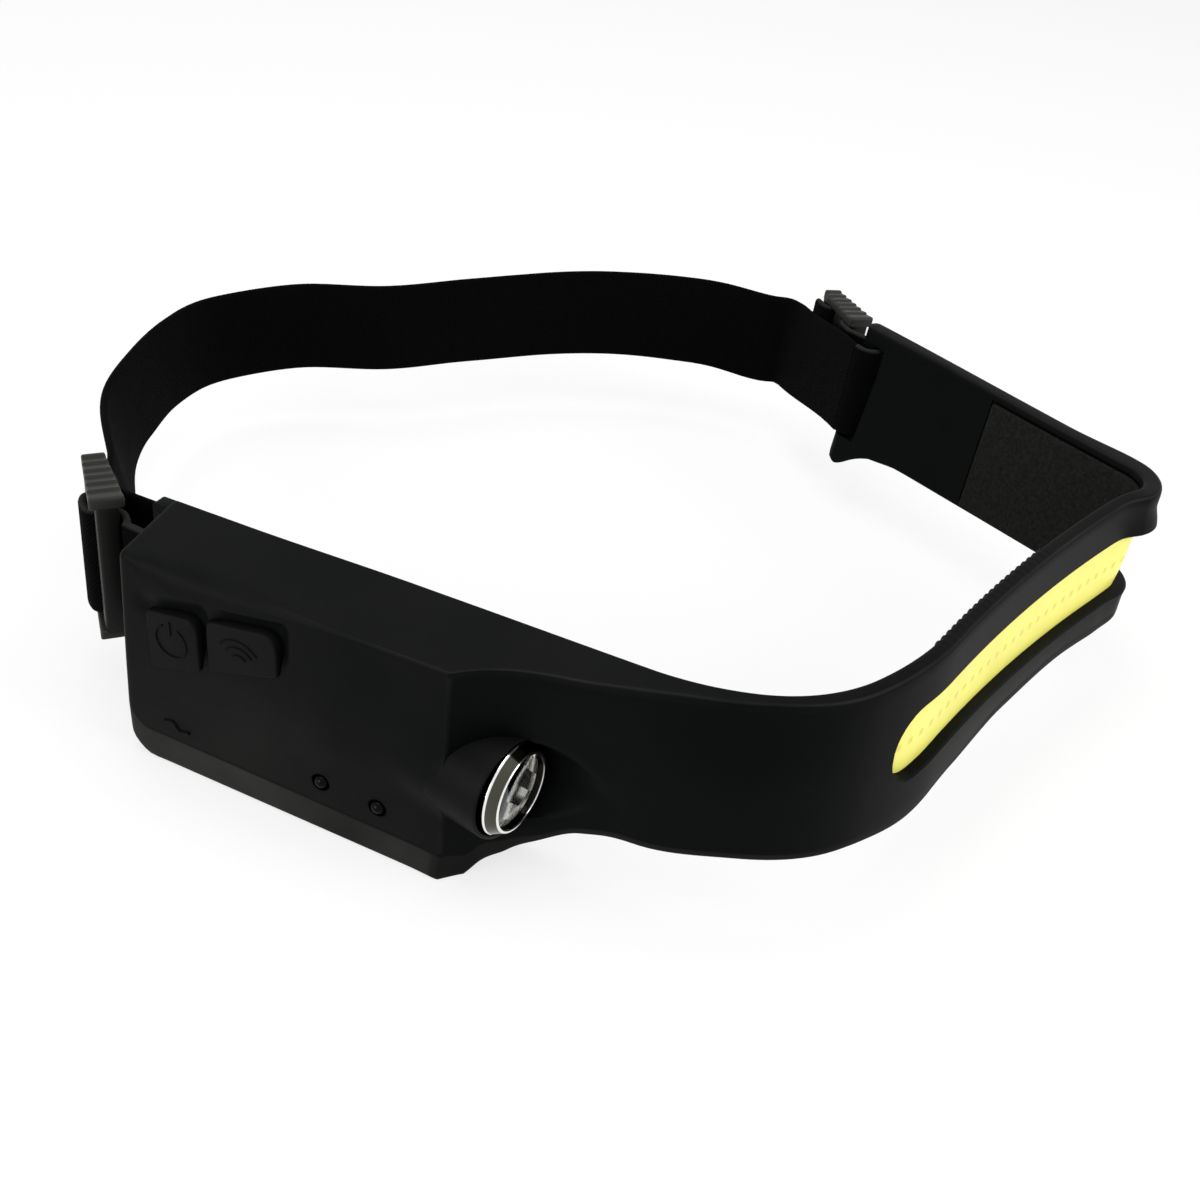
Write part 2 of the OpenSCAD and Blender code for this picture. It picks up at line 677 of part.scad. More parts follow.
// Flap over the socket: a plate with a hinge bead along its inner edge
module port_flap() {
  color([0.15, 0.15, 0.14]) on_box() {
    block(socket_s - flap_w / 2, socket_s + flap_w / 2, hinge_out, hinge_out + flap_reach,
          flap_z, flap_z + flap_t);
    translate([socket_s - flap_w / 2, -hinge_out, flap_z + flap_t / 2]) rotate([0, 90, 0])
      cylinder(r = hinge_r, h = flap_w, $fn = 32);
  }
}

module lamp_bezel() {
  lip_r = bezel_r - 1.5;
  ring_r = bezel_r - 0.8;
  front_r = bezel_r - 1.4;
  color([0.8, 0.8, 0.8]) on_lamp() rotate_extrude($fn = round_fn)
    polygon([[front_r - 0.6, bezel_front], [front_r - 0.2, bezel_front], [front_r, bezel_front - 0.2],
             [bezel_r, bezel_lip - 0.4], [bezel_r, -3], [ring_r, -3], [ring_r, -0.6], [lip_r, -0.6]]);
}

lens_r = bezel_r - 0.9;
lens_t = 1.2;
module lamp_lens() {
  color([0.8, 0.9, 0.95]) on_lamp() translate([0, 0, -0.7 - lens_t])
    cylinder(r = lens_r, h = lens_t, $fn = round_fn);
}

seal_r = 0.4;
module lamp_seal() {
  color([0.1, 0.1, 0.1]) on_lamp() translate([0, 0, -2 - seal_r]) rotate_extrude($fn = round_fn)
    translate([lens_r - seal_r, 0]) circle(r = seal_r, $fn = 24);
}

// Bowl with a parabolic inside, open at the back for the emitter
module lamp_reflector() {
  throat_r = 2.4;
  front_z = -2.9;
  back_z = -9.4;
  wall = 0.7;
  function bowl(t) = throat_r + (lens_r - 0.9 - throat_r) * sqrt(t);
  steps = [for (k = [0 : 8]) (k / 8) ^ 2];
  color([0.85, 0.85, 0.87]) on_lamp() rotate_extrude($fn = round_fn)
    polygon(concat([for (t = steps) [bowl(t), back_z + (front_z - back_z) * t]],
                   [[lens_r, front_z], [lens_r, front_z - wall], [bezel_r - 1.4, front_z - wall],
                    [throat_r + 1.2, back_z]]));
}

module lamp_led() {
  color([0.95, 0.9, 0.5]) on_lamp() {
    translate([-1.7, -1.7, -10.4]) cube([3.4, 3.4, 0.9]);
    translate([0, 0, -9.5]) cylinder(r = 1.1, h = 0.6, $fn = 32);
  }
}

lamp_board_z = -11.6;
module lamp_board() {
  color([0.85, 0.85, 0.85]) on_lamp() translate([0, 0, lamp_board_z])
    cylinder(r = 5, h = 1.2, $fn = round_fn);
}

module lamp_leads() {
  out = board_front + 0.1 + wire_r;
  end_s = lamp_s + lamp_board_z * cos(lamp_turn) - 1.6;
  color([0.6, 0.1, 0.1]) on_box() for (k = [-1, 1]) {
    z = lead_z + 0.7 * k;
    wire([[cavity_s1 - 8, -out, z], [cavity_s1 - 3.5, -out, z], [cavity_s1 - 2, -lead_out, z],
          [end_s, -lead_out, z]], wire_r);
  }
}

// Flexible circuit on the floor of the recess, with its tail
strip_gap = 0.15;
module strip_board() {
  out0 = strip_out + 0.05;
  color([0.9, 0.9, 0.85]) {
    long_slot(strip_s0 + strip_gap, strip_s0 + strip_len - strip_gap, out0, out0 + board_film,
              channel_mid, strip_end_r - strip_gap);
    tail_ribbon(tail_s0, tail_s1, 0);
  }
}

chip_out = strip_out + 0.05 + board_film + hair;
// The row starts past the flat end of the circuit, where the tail is joined
module strip_chips() {
  first = strip_s0 + 2 * strip_end_r + 0.5;
  count = 1 + floor((strip_s0 + strip_len - 3 - first) / chip_pitch);
  color([0.95, 0.85, 0.3]) for (i = [0 : count - 1]) {
    p = pose_at(first + i * chip_pitch);
    in_frame() translate([p[1], p[2], channel_mid]) rotate([0, 0, p[3]])
      translate([-chip_w / 2, -chip_out - chip_t, -chip_w / 2]) cube([chip_w, chip_t, chip_w]);
  }
}

module strip_phosphor() {
  out0 = chip_out + chip_t + 0.1;
  color([0.98, 0.95, 0.35])
    long_slot(strip_s0 + strip_gap, strip_s0 + strip_len - strip_gap, out0, out0 + phosphor_t,
              channel_mid, strip_end_r - strip_gap);
}

// The webbing climbs a little from the box to the end of the side
module rear_strap() {
  last = len(strap_line) - 1;
  low = left_mid - strap_w / 2;
  climb = right_mid - left_mid;
  function at_height(p, z) = [p[0], p[1], z];
  rings = [for (i = [0 : last])
             let (z = low + climb * min(1, max(0, (i - 2) / (last - 4))))
             let (a = side_point(strap_line, i, -strap_t / 2), b = side_point(strap_line, i, strap_t / 2))
             [at_height(a, z), at_height(b, z), at_height(b, z + strap_w), at_height(a, z + strap_w)]];
  color([0.03, 0.03, 0.03]) in_frame() skin_over(rings);
}

// Folded end of the webbing: round the end bar, inside the near bar of the buckle, over its
// middle bar and inside its far bar
frame_half = 1.8;
loop_v = strap_t + slide_gap - wrap_r;
buckle_v = loop_v + strap_t / 2 + slide_gap + frame_half;
function loop_line(u) =
  let (b = buckle_len, rise = frame_half * 2 + 2 * slide_gap + strap_t, low = loop_v)
  let (near = u - 2 * sink, wrap_end = atan2(low, near) + acos(wrap_r / norm([near, low])))
  concat([for (k = [0 : 14]) let (a = 270 + (wrap_end - 270) * k / 14) wrap_r * [cos(a), sin(a)]],
         [[near, low]],
         [for (m = [[0.17, 0], [0.27, 0.15], [0.3, 0.42], [0.32, 0.82], [0.38, 0.98], [0.5, 1.02],
                    [0.62, 0.98], [0.68, 0.82], [0.7, 0.42], [0.73, 0.15], [0.83, 0], [1, 0]])
            [u + m[0] * b, low + m[1] * rise]]);
module strap_loop(start, mid) {
  color([0.03, 0.03, 0.03]) translate([0, 0, mid - strap_w / 2]) linear_extrude(strap_w)
    polygon(thick_line(loop_line(start), strap_t));
}
module left_strap_loop() { on_left_bar() strap_loop(left_start, left_mid); }
module right_strap_loop() { on_right_bar() strap_loop(right_start, right_mid); }

// Three-bar slider: two windows between three bars, and a ribbed grip at each end that gets
// narrower away from the end bar
module buckle(start, mid) {
  bar = 0.19 * buckle_len;
  slot = (buckle_len - 3 * bar) / 2;
  wide = frame_half + 1;
  narrow = frame_half + 0.1;
  half_h = window_h / 2;
  grooves = 5;
  groove_r = 0.7;
  groove_edge = 2 * groove_r;
  groove_step = (buckle_len - 2 * groove_edge) / (grooves - 1);
  color([0.25, 0.25, 0.23]) translate([start, buckle_v, mid]) difference() {
    union() {
      translate([0, -frame_half, -half_h - over])
        cube([buckle_len, 2 * frame_half, window_h + 2 * over]);
      for (z = [-half_h - grip_h, half_h]) translate([0, 0, z]) linear_extrude(grip_h)
        polygon([[0, -wide], [0, wide], [buckle_len, narrow], [buckle_len, -narrow]]);
    }
    for (x = [bar, 2 * bar + slot])
      translate([x, -wide - over, -half_h]) cube([slot, 2 * (wide + over), window_h]);
    for (k = [0 : grooves - 1]) for (z = [-half_h - grip_h, half_h + grip_h])
      translate([groove_edge + k * groove_step, 0, z]) rotate([90, 0, 0])
        cylinder(r = groove_r, h = 3 * wide, center = true, $fn = 24);
  }
}
module left_buckle() { on_left_bar() buckle(left_start, left_mid); }
module right_buckle() { on_right_bar() buckle(right_start, right_mid); }

headband();
temple_pad();
inner_case();
rear_cover();
cover_screw(0);  // cover_screw_1
cover_screw(1);  // cover_screw_2
cover_screw(2);  // cover_screw_3
cover_screw(3);  // cover_screw_4
battery();
battery_leads();
main_board();
power_switch();
sensor_switch();
power_button();
sensor_button();
ir_emitter();
ir_receiver();
charge_socket();
port_flap();
lamp_bezel();
lamp_lens();
lamp_seal();
lamp_reflector();
lamp_led();
lamp_board();
lamp_leads();
strip_board();
strip_chips();
strip_phosphor();
rear_strap();
left_strap_loop();
right_strap_loop();
left_buckle();
right_buckle();
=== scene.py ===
# %% [markdown]
# # A silicone headlamp, dressed piece by piece
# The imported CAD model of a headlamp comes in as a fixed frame: a battery box and a light strip moulded into one
# rubber band, closed by an elastic strap round the back of the head. Every CAD node already sits at its real
# place. This lesson replaces the nodes that are softer or finer in real life, and gives the rest a finish.

# %% Load the frame
import json
from math import acos, atan2, cos, hypot, pi, radians, sin, sqrt, tan

import bmesh
import bpy
from mathutils import Matrix, Vector
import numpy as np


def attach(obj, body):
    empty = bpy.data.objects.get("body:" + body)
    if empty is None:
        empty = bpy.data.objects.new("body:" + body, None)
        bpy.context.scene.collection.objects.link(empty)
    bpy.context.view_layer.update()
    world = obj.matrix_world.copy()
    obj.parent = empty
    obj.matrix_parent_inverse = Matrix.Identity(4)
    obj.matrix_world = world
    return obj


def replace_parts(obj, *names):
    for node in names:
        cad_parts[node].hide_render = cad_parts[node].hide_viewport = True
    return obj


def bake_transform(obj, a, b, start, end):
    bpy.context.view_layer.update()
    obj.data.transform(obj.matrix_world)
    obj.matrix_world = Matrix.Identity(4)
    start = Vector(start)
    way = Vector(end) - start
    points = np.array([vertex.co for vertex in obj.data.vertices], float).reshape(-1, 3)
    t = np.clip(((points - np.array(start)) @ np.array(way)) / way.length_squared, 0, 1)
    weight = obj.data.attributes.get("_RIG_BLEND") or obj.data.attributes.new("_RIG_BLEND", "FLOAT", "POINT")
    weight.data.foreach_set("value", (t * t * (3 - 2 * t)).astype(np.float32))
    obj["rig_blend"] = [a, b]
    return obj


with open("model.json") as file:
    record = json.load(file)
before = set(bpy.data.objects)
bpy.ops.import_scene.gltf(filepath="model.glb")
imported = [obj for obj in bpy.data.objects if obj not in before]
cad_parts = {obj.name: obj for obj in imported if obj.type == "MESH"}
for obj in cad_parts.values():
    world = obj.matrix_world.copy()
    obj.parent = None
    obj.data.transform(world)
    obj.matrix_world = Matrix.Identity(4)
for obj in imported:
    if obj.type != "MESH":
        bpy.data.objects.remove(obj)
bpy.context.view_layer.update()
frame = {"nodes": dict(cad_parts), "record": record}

# %% [markdown]
# ## Camera
# The photograph looks down on the headlamp at 34 degrees with a small roll. Building the camera's three axes by
# hand keeps the roll exact. A Track To constraint would be quicker, but it always holds the horizon level.

# %% Camera
PITCH, ROLL = radians(34.0), radians(6.8)
right = Vector((1, 0, 0))
ahead = Vector((0, cos(PITCH), -sin(PITCH)))
down = Vector((0, -sin(PITCH), -cos(PITCH)))
camera_axes = Matrix(
    (
        right * cos(ROLL) - down * sin(ROLL),
        -(right * sin(ROLL) + down * cos(ROLL)),
        -ahead,
    )
).transposed()
camera_data = bpy.data.cameras.new("photo_camera")
camera_data.lens, camera_data.sensor_width = 47.1, 36
camera_data.clip_start = 0.005
camera = bpy.data.objects.new("photo_camera", camera_data)
camera.matrix_world = Matrix.Translation((-0.000438, -0.250753, 0.169507)) @ camera_axes.to_4x4()
bpy.context.scene.collection.objects.link(camera)
bpy.context.scene.camera = camera
print("camera at", [round(c, 4) for c in camera.location])

# %% [markdown]
# ## Studio
# Black rubber shows its form only through soft reflections, so the light comes from large panels: one above, one
# at the front left and one at the right. The world is white where the camera, a mirror or a glass looks at it, and
# dimmer as a light, which keeps black parts black. The floor is a plain pale sheet that holds a soft shadow.

# %% World
scene = bpy.context.scene
scene.view_settings.view_transform = "Standard"
world = bpy.data.worlds.new("studio")
scene.world = world
world.use_nodes = True
nodes, links = world.node_tree.nodes, world.node_tree.links
backdrop = nodes["Background"]
backdrop.inputs["Color"].default_value = (1, 1, 1, 1)


def seen_directly(nodes, links):
    """A mask that is 1 for camera, glossy and transmission rays, and 0 for rays that carry light."""
    path = nodes.new("ShaderNodeLightPath")
    mask = path.outputs["Is Camera Ray"]
    for name in ("Is Glossy Ray", "Is Transmission Ray"):
        both = nodes.new("ShaderNodeMath")
        both.operation = "MAXIMUM"
        links.new(mask, both.inputs[0])
        links.new(path.outputs[name], both.inputs[1])
        mask = both.outputs[0]
    return mask


level = nodes.new("ShaderNodeMapRange")
level.inputs["To Min"].default_value = 0.4
level.inputs["To Max"].default_value = 1.0
links.new(seen_directly(nodes, links), level.inputs["Value"])
links.new(level.outputs["Result"], backdrop.inputs["Strength"])
print("world light", level.inputs["To Min"].default_value)

# %% Panels
PANEL_AIM = Vector((0, 0, 0.02))
PANELS = (
    ("panel_above", (-0.05, 0.0, 0.75), 0.7, 4.5),
    ("panel_front", (-0.65, -0.7, 0.25), 0.6, 6.0),
    ("panel_right", (0.75, -0.25, 0.45), 0.5, 3.5),
)
for name, place, size, power in PANELS:
    light = bpy.data.lights.new(name, "AREA")
    light.shape, light.size, light.energy = "SQUARE", size, power
    lamp = bpy.data.objects.new(name, light)
    lamp.location = place
    lamp.rotation_euler = (PANEL_AIM - Vector(place)).to_track_quat("-Z", "Y").to_euler()
    scene.collection.objects.link(lamp)
    print(name, power, "W")

# %% Floor
bm = bmesh.new()
bmesh.ops.create_grid(bm, x_segments=1, y_segments=1, size=3)
floor_mesh = bpy.data.meshes.new("floor")
bm.to_mesh(floor_mesh)
bm.free()
floor = bpy.data.objects.new("floor", floor_mesh)
scene.collection.objects.link(floor)
paper = bpy.data.materials.new("paper_floor")
paper.use_nodes = True
nodes, links = paper.node_tree.nodes, paper.node_tree.links
nodes["Principled BSDF"].inputs["Base Color"].default_value = (0.86, 0.86, 0.86, 1)
nodes["Principled BSDF"].inputs["Roughness"].default_value = 0.9
glow = nodes.new("ShaderNodeEmission")
share = nodes.new("ShaderNodeMixShader")
part = nodes.new("ShaderNodeMath")
part.operation = "MULTIPLY"
part.inputs[1].default_value = 0.75
links.new(seen_directly(nodes, links), part.inputs[0])
links.new(part.outputs[0], share.inputs["Fac"])
links.new(nodes["Principled BSDF"].outputs[0], share.inputs[1])
links.new(glow.outputs[0], share.inputs[2])
links.new(share.outputs[0], nodes["Material Output"].inputs["Surface"])
floor_mesh.materials.append(paper)
print("floor ready")

# %% [markdown]
# ## A shared grain
# Every moulded surface has two things in common: a fine grain from the mould and broad, faint patches from
# handling. One node group makes both and each material sets its own scales. It hands out plain numbers, so the
# shader itself stays in the material, where it can be exported.

# %% Grain group
def new_group(name, inputs, outputs):
    group = bpy.data.node_groups.new(name, "ShaderNodeTree")
    for label, value in inputs.items():
        socket = group.interface.new_socket(label, in_out="INPUT", socket_type="NodeSocketFloat")
        socket.default_value = value
    for label in outputs:
        group.interface.new_socket(label, in_out="OUTPUT", socket_type="NodeSocketFloat")
    return group, group.nodes.new("NodeGroupInput"), group.nodes.new("NodeGroupOutput")


grain, entry, exit_ = new_group("mould_grain", {"Fine": 4000.0, "Broad": 60.0}, ("Height", "Patch"))
spot = grain.nodes.new("ShaderNodeTexCoord")
for label, result, detail in (("Fine", "Height", 2.0), ("Broad", "Patch", 4.0)):
    noise = grain.nodes.new("ShaderNodeTexNoise")
    noise.inputs["Detail"].default_value = detail
    grain.links.new(spot.outputs["Object"], noise.inputs["Vector"])
    grain.links.new(entry.outputs[label], noise.inputs["Scale"])
    grain.links.new(noise.outputs["Fac"], exit_.inputs[result])
print("group", grain.name)

# %% A finish with grain
def finish(name, dark, light, rough, fine=4000.0, broad=60.0, depth=0.1, metal=0.0, shine=0.5):
    """A Principled material whose tone and roughness follow the patches and whose bump follows the grain."""
    material = bpy.data.materials.new(name)
    material.use_nodes = True
    nodes, links = material.node_tree.nodes, material.node_tree.links
    shader = nodes["Principled BSDF"]
    shader.inputs["Metallic"].default_value = metal
    shader.inputs["Specular IOR Level"].default_value = shine
    coarse = nodes.new("ShaderNodeGroup")
    coarse.node_tree = grain
    coarse.inputs["Fine"].default_value = fine
    coarse.inputs["Broad"].default_value = broad
    tone = nodes.new("ShaderNodeMix")
    tone.data_type = "RGBA"
    tone.name = "tone"
    tone.inputs["A"].default_value = (*dark, 1)
    tone.inputs["B"].default_value = (*light, 1)
    gloss = nodes.new("ShaderNodeMapRange")
    gloss.inputs["To Min"].default_value, gloss.inputs["To Max"].default_value = rough
    bump = nodes.new("ShaderNodeBump")
    bump.inputs["Strength"].default_value = depth
    bump.inputs["Distance"].default_value = 0.0002
    bump.name = "bump"
    links.new(coarse.outputs["Patch"], tone.inputs["Factor"])
    links.new(coarse.outputs["Patch"], gloss.inputs["Value"])
    links.new(coarse.outputs["Height"], bump.inputs["Height"])
    links.new(tone.outputs["Result"], shader.inputs["Base Color"])
    links.new(gloss.outputs["Result"], shader.inputs["Roughness"])
    links.new(bump.outputs["Normal"], shader.inputs["Normal"])
    print("finish", name)
    return material


# %% A second tone
def tint(material, mark, colour, socket="B"):
    """Mix the tone with a second colour by a number on the mesh. Returns the number's socket and the one it feeds."""
    nodes, links = material.node_tree.nodes, material.node_tree.links
    number = nodes.new("ShaderNodeAttribute")
    number.attribute_name = mark
    both = nodes.new("ShaderNodeMix")
    both.data_type = "RGBA"
    both.inputs[socket].default_value = (*colour, 1)
    links.new(number.outputs["Fac"], both.inputs["Factor"])
    links.new(nodes["tone"].outputs["Result"], both.inputs["A" if socket == "B" else "B"])
    links.new(both.outputs["Result"], nodes["Principled BSDF"].inputs["Base Color"])
    print(material.name, "has a second tone by", mark)
    return number.outputs["Fac"], both.inputs["Factor"]


# %% [markdown]
# ## Rubber
# Moulded silicone is a soft black with a dull sheen. Its edges rub lighter in use, and the facets, crest and lips that
# face the light are painted lighter as well, as painted light and painted highlight. The band's mesh carries a number
# on all these places, and the material lifts the tone there. The patches of the grain break the lighter places up.
# Painting the edges from curvature would work for one renderer only.

# %% Silicone
silicone = finish(
    "silicone", (0.0002, 0.0007, 0.0005), (0.0017, 0.0023, 0.002), (0.4, 0.54), 5000, 45, 0.12, shine=0.035
)
# A paler colour for worn edges and for the painted light and painted highlights on facets, crest and lips.
wear_and_highlight, wear_and_highlight_share = tint(silicone, "wear_and_highlight", (0.045, 0.045, 0.04))
nodes, links = silicone.node_tree.nodes, silicone.node_tree.links
patchy = nodes.new("ShaderNodeMapRange")
patchy.inputs["From Min"].default_value, patchy.inputs["From Max"].default_value = 0.35, 0.65
patchy.inputs["To Min"].default_value = 0.35
broken = nodes.new("ShaderNodeMath")
broken.operation = "MULTIPLY"
links.new(nodes["Group"].outputs["Patch"], patchy.inputs["Value"])
links.new(wear_and_highlight, broken.inputs[0])
links.new(patchy.outputs["Result"], broken.inputs[1])
links.new(broken.outputs[0], wear_and_highlight_share)
# The lighter edges here are partly wear and partly painted highlight.
print("silicone with rubbed edges")

# %% [markdown]
# ## The other finishes
# The hidden pieces are seen when the part is opened or cut, so each one gets its own finish too: lacquered board,
# foil cell, plated steel, wire insulation. They could be built by hand in the shader editor. One function with colours,
# roughness and grain as its values keeps them alike, so that only the values differ.

# %% Plain finishes
finishes = {
    "silicone": silicone,
    "pad": finish("rough_pad", (0.0, 0.0, 0.0), (0.018, 0.018, 0.0165), (0.8, 0.95), 900, 1400, 1.0, shine=0.04),
    "case": finish("case_plastic", (0.012, 0.012, 0.012), (0.02, 0.02, 0.02), (0.45, 0.6), 3500, 70, 0.15),
    "steel": finish("plated_steel", (0.42, 0.42, 0.43), (0.6, 0.6, 0.62), (0.22, 0.38), 2500, 300, 0.08, 1.0),
    "cell": finish("foil_cell", (0.5, 0.5, 0.52), (0.66, 0.66, 0.68), (0.25, 0.45), 1200, 90, 0.2, 0.8),
    "wire": finish("wire_skin", (0.3, 0.012, 0.01), (0.42, 0.02, 0.015), (0.35, 0.5), 4000, 200, 0.05),
    "board": finish("lacquered_board", (0.008, 0.07, 0.03), (0.015, 0.11, 0.05), (0.3, 0.45), 2500, 250, 0.1),
    "dome": finish("dark_dome", (0.001,) * 3, (0.003,) * 3, (0.03, 0.08), 3000, 300, 0.01, shine=0.05),
    # The chrome's colour is painted dark: a painted reflection of dark surroundings.
    "chrome": finish("chrome_ring", (0.045, 0.044, 0.035), (0.1, 0.097, 0.08), (0.05, 0.16), 2500, 150, 0.02, 1.0),
    "reflector": finish("mirror_bowl", (0.84, 0.83, 0.8), (0.94, 0.93, 0.9), (0.06, 0.16), 2500, 250, 0.02, 1.0),
    "core_board": finish("white_board", (0.6, 0.6, 0.58), (0.75, 0.75, 0.72), (0.4, 0.55), 2500, 200, 0.08),
    "strip": finish("flex_strip", (0.62, 0.6, 0.5), (0.78, 0.75, 0.62), (0.4, 0.55), 2500, 200, 0.08),
    "buckle": finish(
        "buckle_plastic", (0.012, 0.012, 0.01), (0.02, 0.0195, 0.017), (0.36, 0.52), 3000, 110, 0.15, shine=0.14
    ),
}

# %% [markdown]
# ## Pale grips and bright lips
# The grips of a slider are paler than its bars. The ring round the lamp is chrome whose colour is painted dark, a
# painted reflection of dark surroundings, and its two lips are painted bright, as painted highlights. Both could be
# split into pieces with materials of their own, but each is one moulding, so its mesh carries a number on the paler
# places and the material reads it.

# %% Bars and lips
tint(finishes["buckle"], "grip", (0.003, 0.003, 0.0025), "A")
# The two lips of the chrome ring are painted bright: painted highlights.
tint(finishes["chrome"], "lip_highlight", (0.85, 0.85, 0.84))

# %% [markdown]
# ## Clear lens
# The lens is a thin disc of clear plastic. Full transmission with a plastic's refraction does it, and a trace of
# haze from the grain group keeps it from looking like an empty hole.

# %% Lens
lens = finish("clear_lens", (0.96, 0.97, 0.98), (1, 1, 1), (0.01, 0.05), 3000, 120, 0.01)
clear = lens.node_tree.nodes["Principled BSDF"].inputs
clear["Transmission Weight"].default_value, clear["IOR"].default_value = 1.0, 1.49
finishes["lens"] = lens

# %% [markdown]
# ## Webbing
# Elastic webbing is a flat weave: fine cords run along it, and a thread crosses over and under them. The UV map of
# each strap is in millimetres, so two sine waves in UV give cords and threads at their true size, whatever way
# the strap bends. The top edge of the folded ends is painted pale, a painted highlight, by the same kind of number as
# on the rubber.

# %% Weave group
weave, entry, exit_ = new_group("flat_weave", {"Cord": 0.9, "Thread": 0.55}, ("Height", "Shade"))
uv = weave.nodes.new("ShaderNodeTexCoord")
axes = weave.nodes.new("ShaderNodeSeparateXYZ")
weave.links.new(uv.outputs["UV"], axes.inputs["Vector"])


def sum_node(tree, kind, first, second=None, value=None):
    node = tree.nodes.new("ShaderNodeMath")
    node.operation = kind
    tree.links.new(first, node.inputs[0])
    if second is not None:
        tree.links.new(second, node.inputs[1])
    elif value is not None:
        node.inputs[1].default_value = value
    return node.outputs[0]


waves = []
for axis, label in (("Y", "Cord"), ("X", "Thread")):
    turns = sum_node(weave, "DIVIDE", axes.outputs[axis], entry.outputs[label])
    angle = sum_node(weave, "MULTIPLY", turns, value=2 * pi)
    waves.append(sum_node(weave, "SINE", angle))
crossing = sum_node(weave, "MULTIPLY", waves[0], waves[1])
half = sum_node(weave, "MULTIPLY", crossing, value=0.5)
height = sum_node(weave, "ADD", half, value=0.5)
weave.links.new(height, exit_.inputs["Height"])
fuzz = weave.nodes.new("ShaderNodeTexNoise")
fuzz.inputs["Scale"].default_value = 1.7
fuzz.inputs["Detail"].default_value = 5
weave.links.new(uv.outputs["UV"], fuzz.inputs["Vector"])
weave.links.new(sum_node(weave, "MULTIPLY", height, fuzz.outputs["Fac"]), exit_.inputs["Shade"])
print("group", weave.name)

# %% Webbing finish
webbing = finish(
    "webbing", (0.0005, 0.0006, 0.0006), (0.0034, 0.0034, 0.0033), (0.85, 1.0), 3500, 120, 0.8, shine=0.02
)
nodes, links = webbing.node_tree.nodes, webbing.node_tree.links
cloth = nodes.new("ShaderNodeGroup")
cloth.node_tree = weave
links.new(cloth.outputs["Shade"], nodes["tone"].inputs["Factor"])
links.new(cloth.outputs["Height"], nodes["bump"].inputs["Height"])
nodes["Principled BSDF"].inputs["Sheen Weight"].default_value = 0.006
# The pale colour is a painted highlight on the top edge of the folded ends.
tint(webbing, "wear_and_highlight", (0.06, 0.06, 0.055))
finishes["webbing"] = webbing

# %% [markdown]
# ## Yellow strip
# Under the yellow layer sits a row of tiny emitters, three millimetres apart. They show through as small squares.
# The strip's UV map is in millimetres along and across, so the squares are a test on the distance to the nearest
# whole step.

# %% Phosphor finish
phosphor = finish("phosphor", (0.86, 0.79, 0.14), (0.97, 0.93, 0.2), (0.3, 0.45), 2500, 160, 0.05, shine=0.3)
tree = phosphor.node_tree
nodes, links = tree.nodes, tree.links
uv = nodes.new("ShaderNodeTexCoord")
axes = nodes.new("ShaderNodeSeparateXYZ")
links.new(uv.outputs["UV"], axes.inputs["Vector"])
step = sum_node(tree, "PINGPONG", axes.outputs["X"], value=1.5)
near = sum_node(tree, "LESS_THAN", step, value=0.55)
low = sum_node(tree, "LESS_THAN", sum_node(tree, "ABSOLUTE", axes.outputs["Y"]), value=0.6)
square = sum_node(tree, "MULTIPLY", near, low)
dots = nodes.new("ShaderNodeMix")
dots.data_type = "RGBA"
dots.inputs["B"].default_value = (0.7, 0.6, 0.05, 1)
links.new(sum_node(tree, "MULTIPLY", square, value=0.6), dots.inputs["Factor"])
links.new(nodes["tone"].outputs["Result"], dots.inputs["A"])
links.new(dots.outputs["Result"], nodes["Principled BSDF"].inputs["Base Color"])
finishes["phosphor"] = phosphor

# %% [markdown]
# ## Finishes on the CAD nodes
# Each node names a material slot in the record. Its object gets the finish of that slot, and its mesh stays as the CAD
# made it. The nodes that scene pieces replace further down are dressed here too, which costs nothing.

# %% Dress the CAD nodes
slots = {part["node"]: part["material_slot"] for part in frame["record"]["subparts"]}
for node, slot in slots.items():
    mesh = frame["nodes"][node].data
    mesh.materials.clear()
    mesh.materials.append(finishes[slot])
print(len(slots), "nodes dressed")

# %% [markdown]
# ## The band's line
# The whole headband follows one line, seen from above: a straight box, a bend round the brow, a slack front, a
# tight corner and a straight side. The CAD gives it as runs of length and turn. Any point on the moulding is then
# a distance along the line, a distance outward and a height. The free side leans outward, as soft rubber does.

# %% Line
MM = 0.001
MIDDLE, HEADING = (68.438, 44.7533), radians(-21.5)
RUNS = ((82, 0), (15, 21.5), (19, 42), (18, 17), (66, -11), (6 * radians(84), 84), (65, 0))


def mix(a, b, t):
    return a + (b - a) * t


def ease(a, b, x):
    t = min(1, max(0, (x - a) / (b - a)))
    return t * t * (3 - 2 * t)


def advance(at, length, turn):
    s, x, y, heading = at
    if turn == 0:
        return s + length, x + length * cos(heading), y + length * sin(heading), heading
    radius, end = length / radians(turn), heading + radians(turn)
    return s + length, x + radius * (sin(end) - sin(heading)), y + radius * (cos(heading) - cos(end)), end


starts = [(0, -MIDDLE[0], -MIDDLE[1], HEADING)]
for length, turn in RUNS:
    starts.append(advance(starts[-1], length, turn))
BAND_END, SIDE_MID = starts[-1][0], 24.4


def side_lean(s):
    """Lean of the free side, about its middle height."""
    return 0.095 * ease(192, 208, s) + 0.06 * ease(215, 272, s)


def on_band(s, out, z):
    """The point at a distance along the line, a distance outward from the inner face, and a height, in mm."""
    k = max([i for i in range(len(RUNS)) if starts[i][0] <= s] or [0])
    length, turn = RUNS[k]
    _, x, y, heading = advance(starts[k], s - starts[k][0], turn * (s - starts[k][0]) / length)
    out += side_lean(s) * (z - SIDE_MID)
    return Vector((x + out * sin(heading), y - out * cos(heading), z))


print("line length", round(BAND_END, 1), "mm")

# %% [markdown]
# ## Tools for modelling
# Most pieces here are lofts: closed rings of points, set out along a line, with bridge_loops making the skin between
# neighbours. Each ring starts at a point whose partner on the next ring is its nearest, so the bridges never twist.
# Hard pieces get their edges rounded by one bevel with the same settings everywhere.

